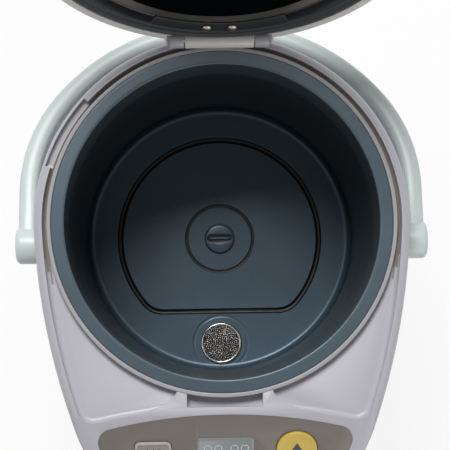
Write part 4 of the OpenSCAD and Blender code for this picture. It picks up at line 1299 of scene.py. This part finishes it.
def level_gauge():
    """Clear curved window and the printed card behind it, with its marks."""
    window = ring_piece("gauge_pane", 100.7, 102.6, -82.5, -97.5, 56, 178)
    soften(window, 0.7, 4, 40)
    dress(window, "housing", gauge_clear, ["gauge_window"])
    card = ring_piece("gauge_card", 97.9, 98.85, -84.5, -95.5, 62, 172)
    slit = rounded_block(7, 102, 3, 0, 30)
    move(slit, shift(0, -80, 117) @ rotate(90, "X"))
    carve(card, slit)
    for k in range(21):
        z, reach = 70.4 + 4.75 * k, 3.4 if k % 4 == 0 else 1.8
        ends = [math.degrees(math.asin(x / 98.9)) - 90 for x in (4.3 + reach, 4.3)]
        fuse(card, ring_piece("mark", 98.7, 98.9, *ends, z - 0.25, z + 0.25, 3))
    dress(card, "housing", [gauge_card, sign_ink], ["gauge_scale"])
    recoat(card, lambda m: m.xy.length > 98.87)
    return card


def underside():
    """Swivel base with its grip ribs and rubber feet, and the cover that closes the body."""
    section = [(0, 3), (86, 3)] + bend(86.5, 4.5, 1.5, -90, 0, 5) + [(88, 10.2)]
    section += bend(87.2, 10.2, 0.8, 0, 90, 4) + [(86.3, 11)] + bend(86.3, 10.2, 0.8, 90, 180, 4)
    section += [(85.5, 5.5), (11, 5.5)] + bend(11, 6.5, 1, -90, -180, 4) + [(10, 19.4), (9.4, 20), (2, 20), (2, 8), (0, 8)]
    base = turned("swivel_dish", section, steps=160)
    for x, y in around(36, 88.9, 5):
        carve(base, rod(1.4, 5.2, 9.6, x, y, 16))
    for r in (24, 56):
        carve(base, turned("groove", [(r, 2), (r + 1.6, 2), (r + 1.6, 3.5), (r, 3.5)], steps=120))
    dress(base, "base", base_abs, ["swivel_base"])
    foot = [(0, 0.35), (5.2, 0.35), (5.7, 0)]
    feet = turned("rubber_pads", foot + [(9, 0)] + bend(9, 1, 1, -90, 0, 5) + [(10, 3), (0, 3)], steps=64)
    for x, y in around(4, 74, 45):
        pad = turned("pad", foot + [(7, 0)] + bend(7, 1, 1, -90, 0, 5) + [(8, 3), (0, 3)], steps=56)
        move(pad, shift(x, y, 0))
        fuse(feet, pad)
    dress(feet, "base", foot_rubber, ["rubber_feet"])
    section = [(10.35, 12), (96.3, 12)] + bend(96.3, 17.2, 5.2, -90, 0, 8)
    section += [(101.5, 25.4), (100.9, 26), (99.2, 26), (99.2, 31.6), (98.8, 32), (97.2, 32), (97.2, 22)]
    section += [(98.9, 22), (98.9, 14.5), (14, 14.5), (14, 19.7), (10.35, 19.7)]
    cover = turned("bottom_pan", section, steps=180)
    for x, y in around(4, 76, 45):
        carve(cover, rod(3.4, 11, 13.5, x, y, 40), rod(1.6, 11, 16, x, y, 32))
    for x, y in ((-40, 26), (-40, 70), (40, 26), (40, 70)):
        fuse(cover, rod(3, 13.5, 20, x, y, 32))
    soften(cover, 0.25, 2, 50)
    return dress(cover, "housing", base_abs, ["bottom_cover"])


def spout_and_inlet():
    """The outlet under the beak, the beak's closing plate and the mains socket at the rear."""
    section = [(4.85, 172.6), (5.3, 172)] + bend(6.9, 173, 1, -90, 60, 6)
    section += [(7.3, 174.6), (7.5, 176), (7.5, 186.1)]
    section += [(9.6, 186.1), (10, 186.5), (10, 188.1), (9.6, 188.5), (7.5, 188.5), (7.5, 192), (4.85, 192)]
    spout = turned("outlet_lip", section, steps=72)
    move(spout, shift(*SPOUT, 0))
    dress(spout, "housing", black_abs, ["spout_nozzle"])
    plate = stacked("beak_plate", [(housing_arcs(0.6), 183.5), (housing_arcs(0.6), 186)])
    carve(plate, rod(100.9, 180, 190, sides=180), block(-130, 130, -60, 130, 180, 190))
    carve(plate, rod(8, 180, 190, *SPOUT, 64))
    soften(plate, 0.5, 3, 40)
    dress(plate, "housing", shell_abs, ["beak_cover"])
    socket = rounded_block(33, 27, 3, 0, 16)
    soften(socket, 0.8, 3, 50)
    carve(socket, rounded_block(26, 18, 2.5, 4, 20), rounded_block(27.4, 19.4, 3, 15.2, 20))
    soften(socket, 0.25, 2, 50)
    facing_rear = shift(0, 86, 48) @ rotate(-90, "X")
    move(socket, facing_rear)
    socket.name = "mains_socket"
    dress(socket, "housing", black_abs, ["inlet_socket"])
    section = [(0, 4), (1.5, 4), (1.5, 9)] + bend(0.5, 9, 1, 0, 80, 5) + [(0, 10)]
    pins, other = (turned("mains_pins", section, steps=32) for _ in range(2))
    for pin, x in ((pins, -6), (other, 6)):
        move(pin, facing_rear @ shift(x, 0, 0))
    fuse(pins, other)
    return dress(pins, "housing", brass, ["inlet_pins"])


body_sleeve()
level_gauge()
underside()
spout_and_inlet()
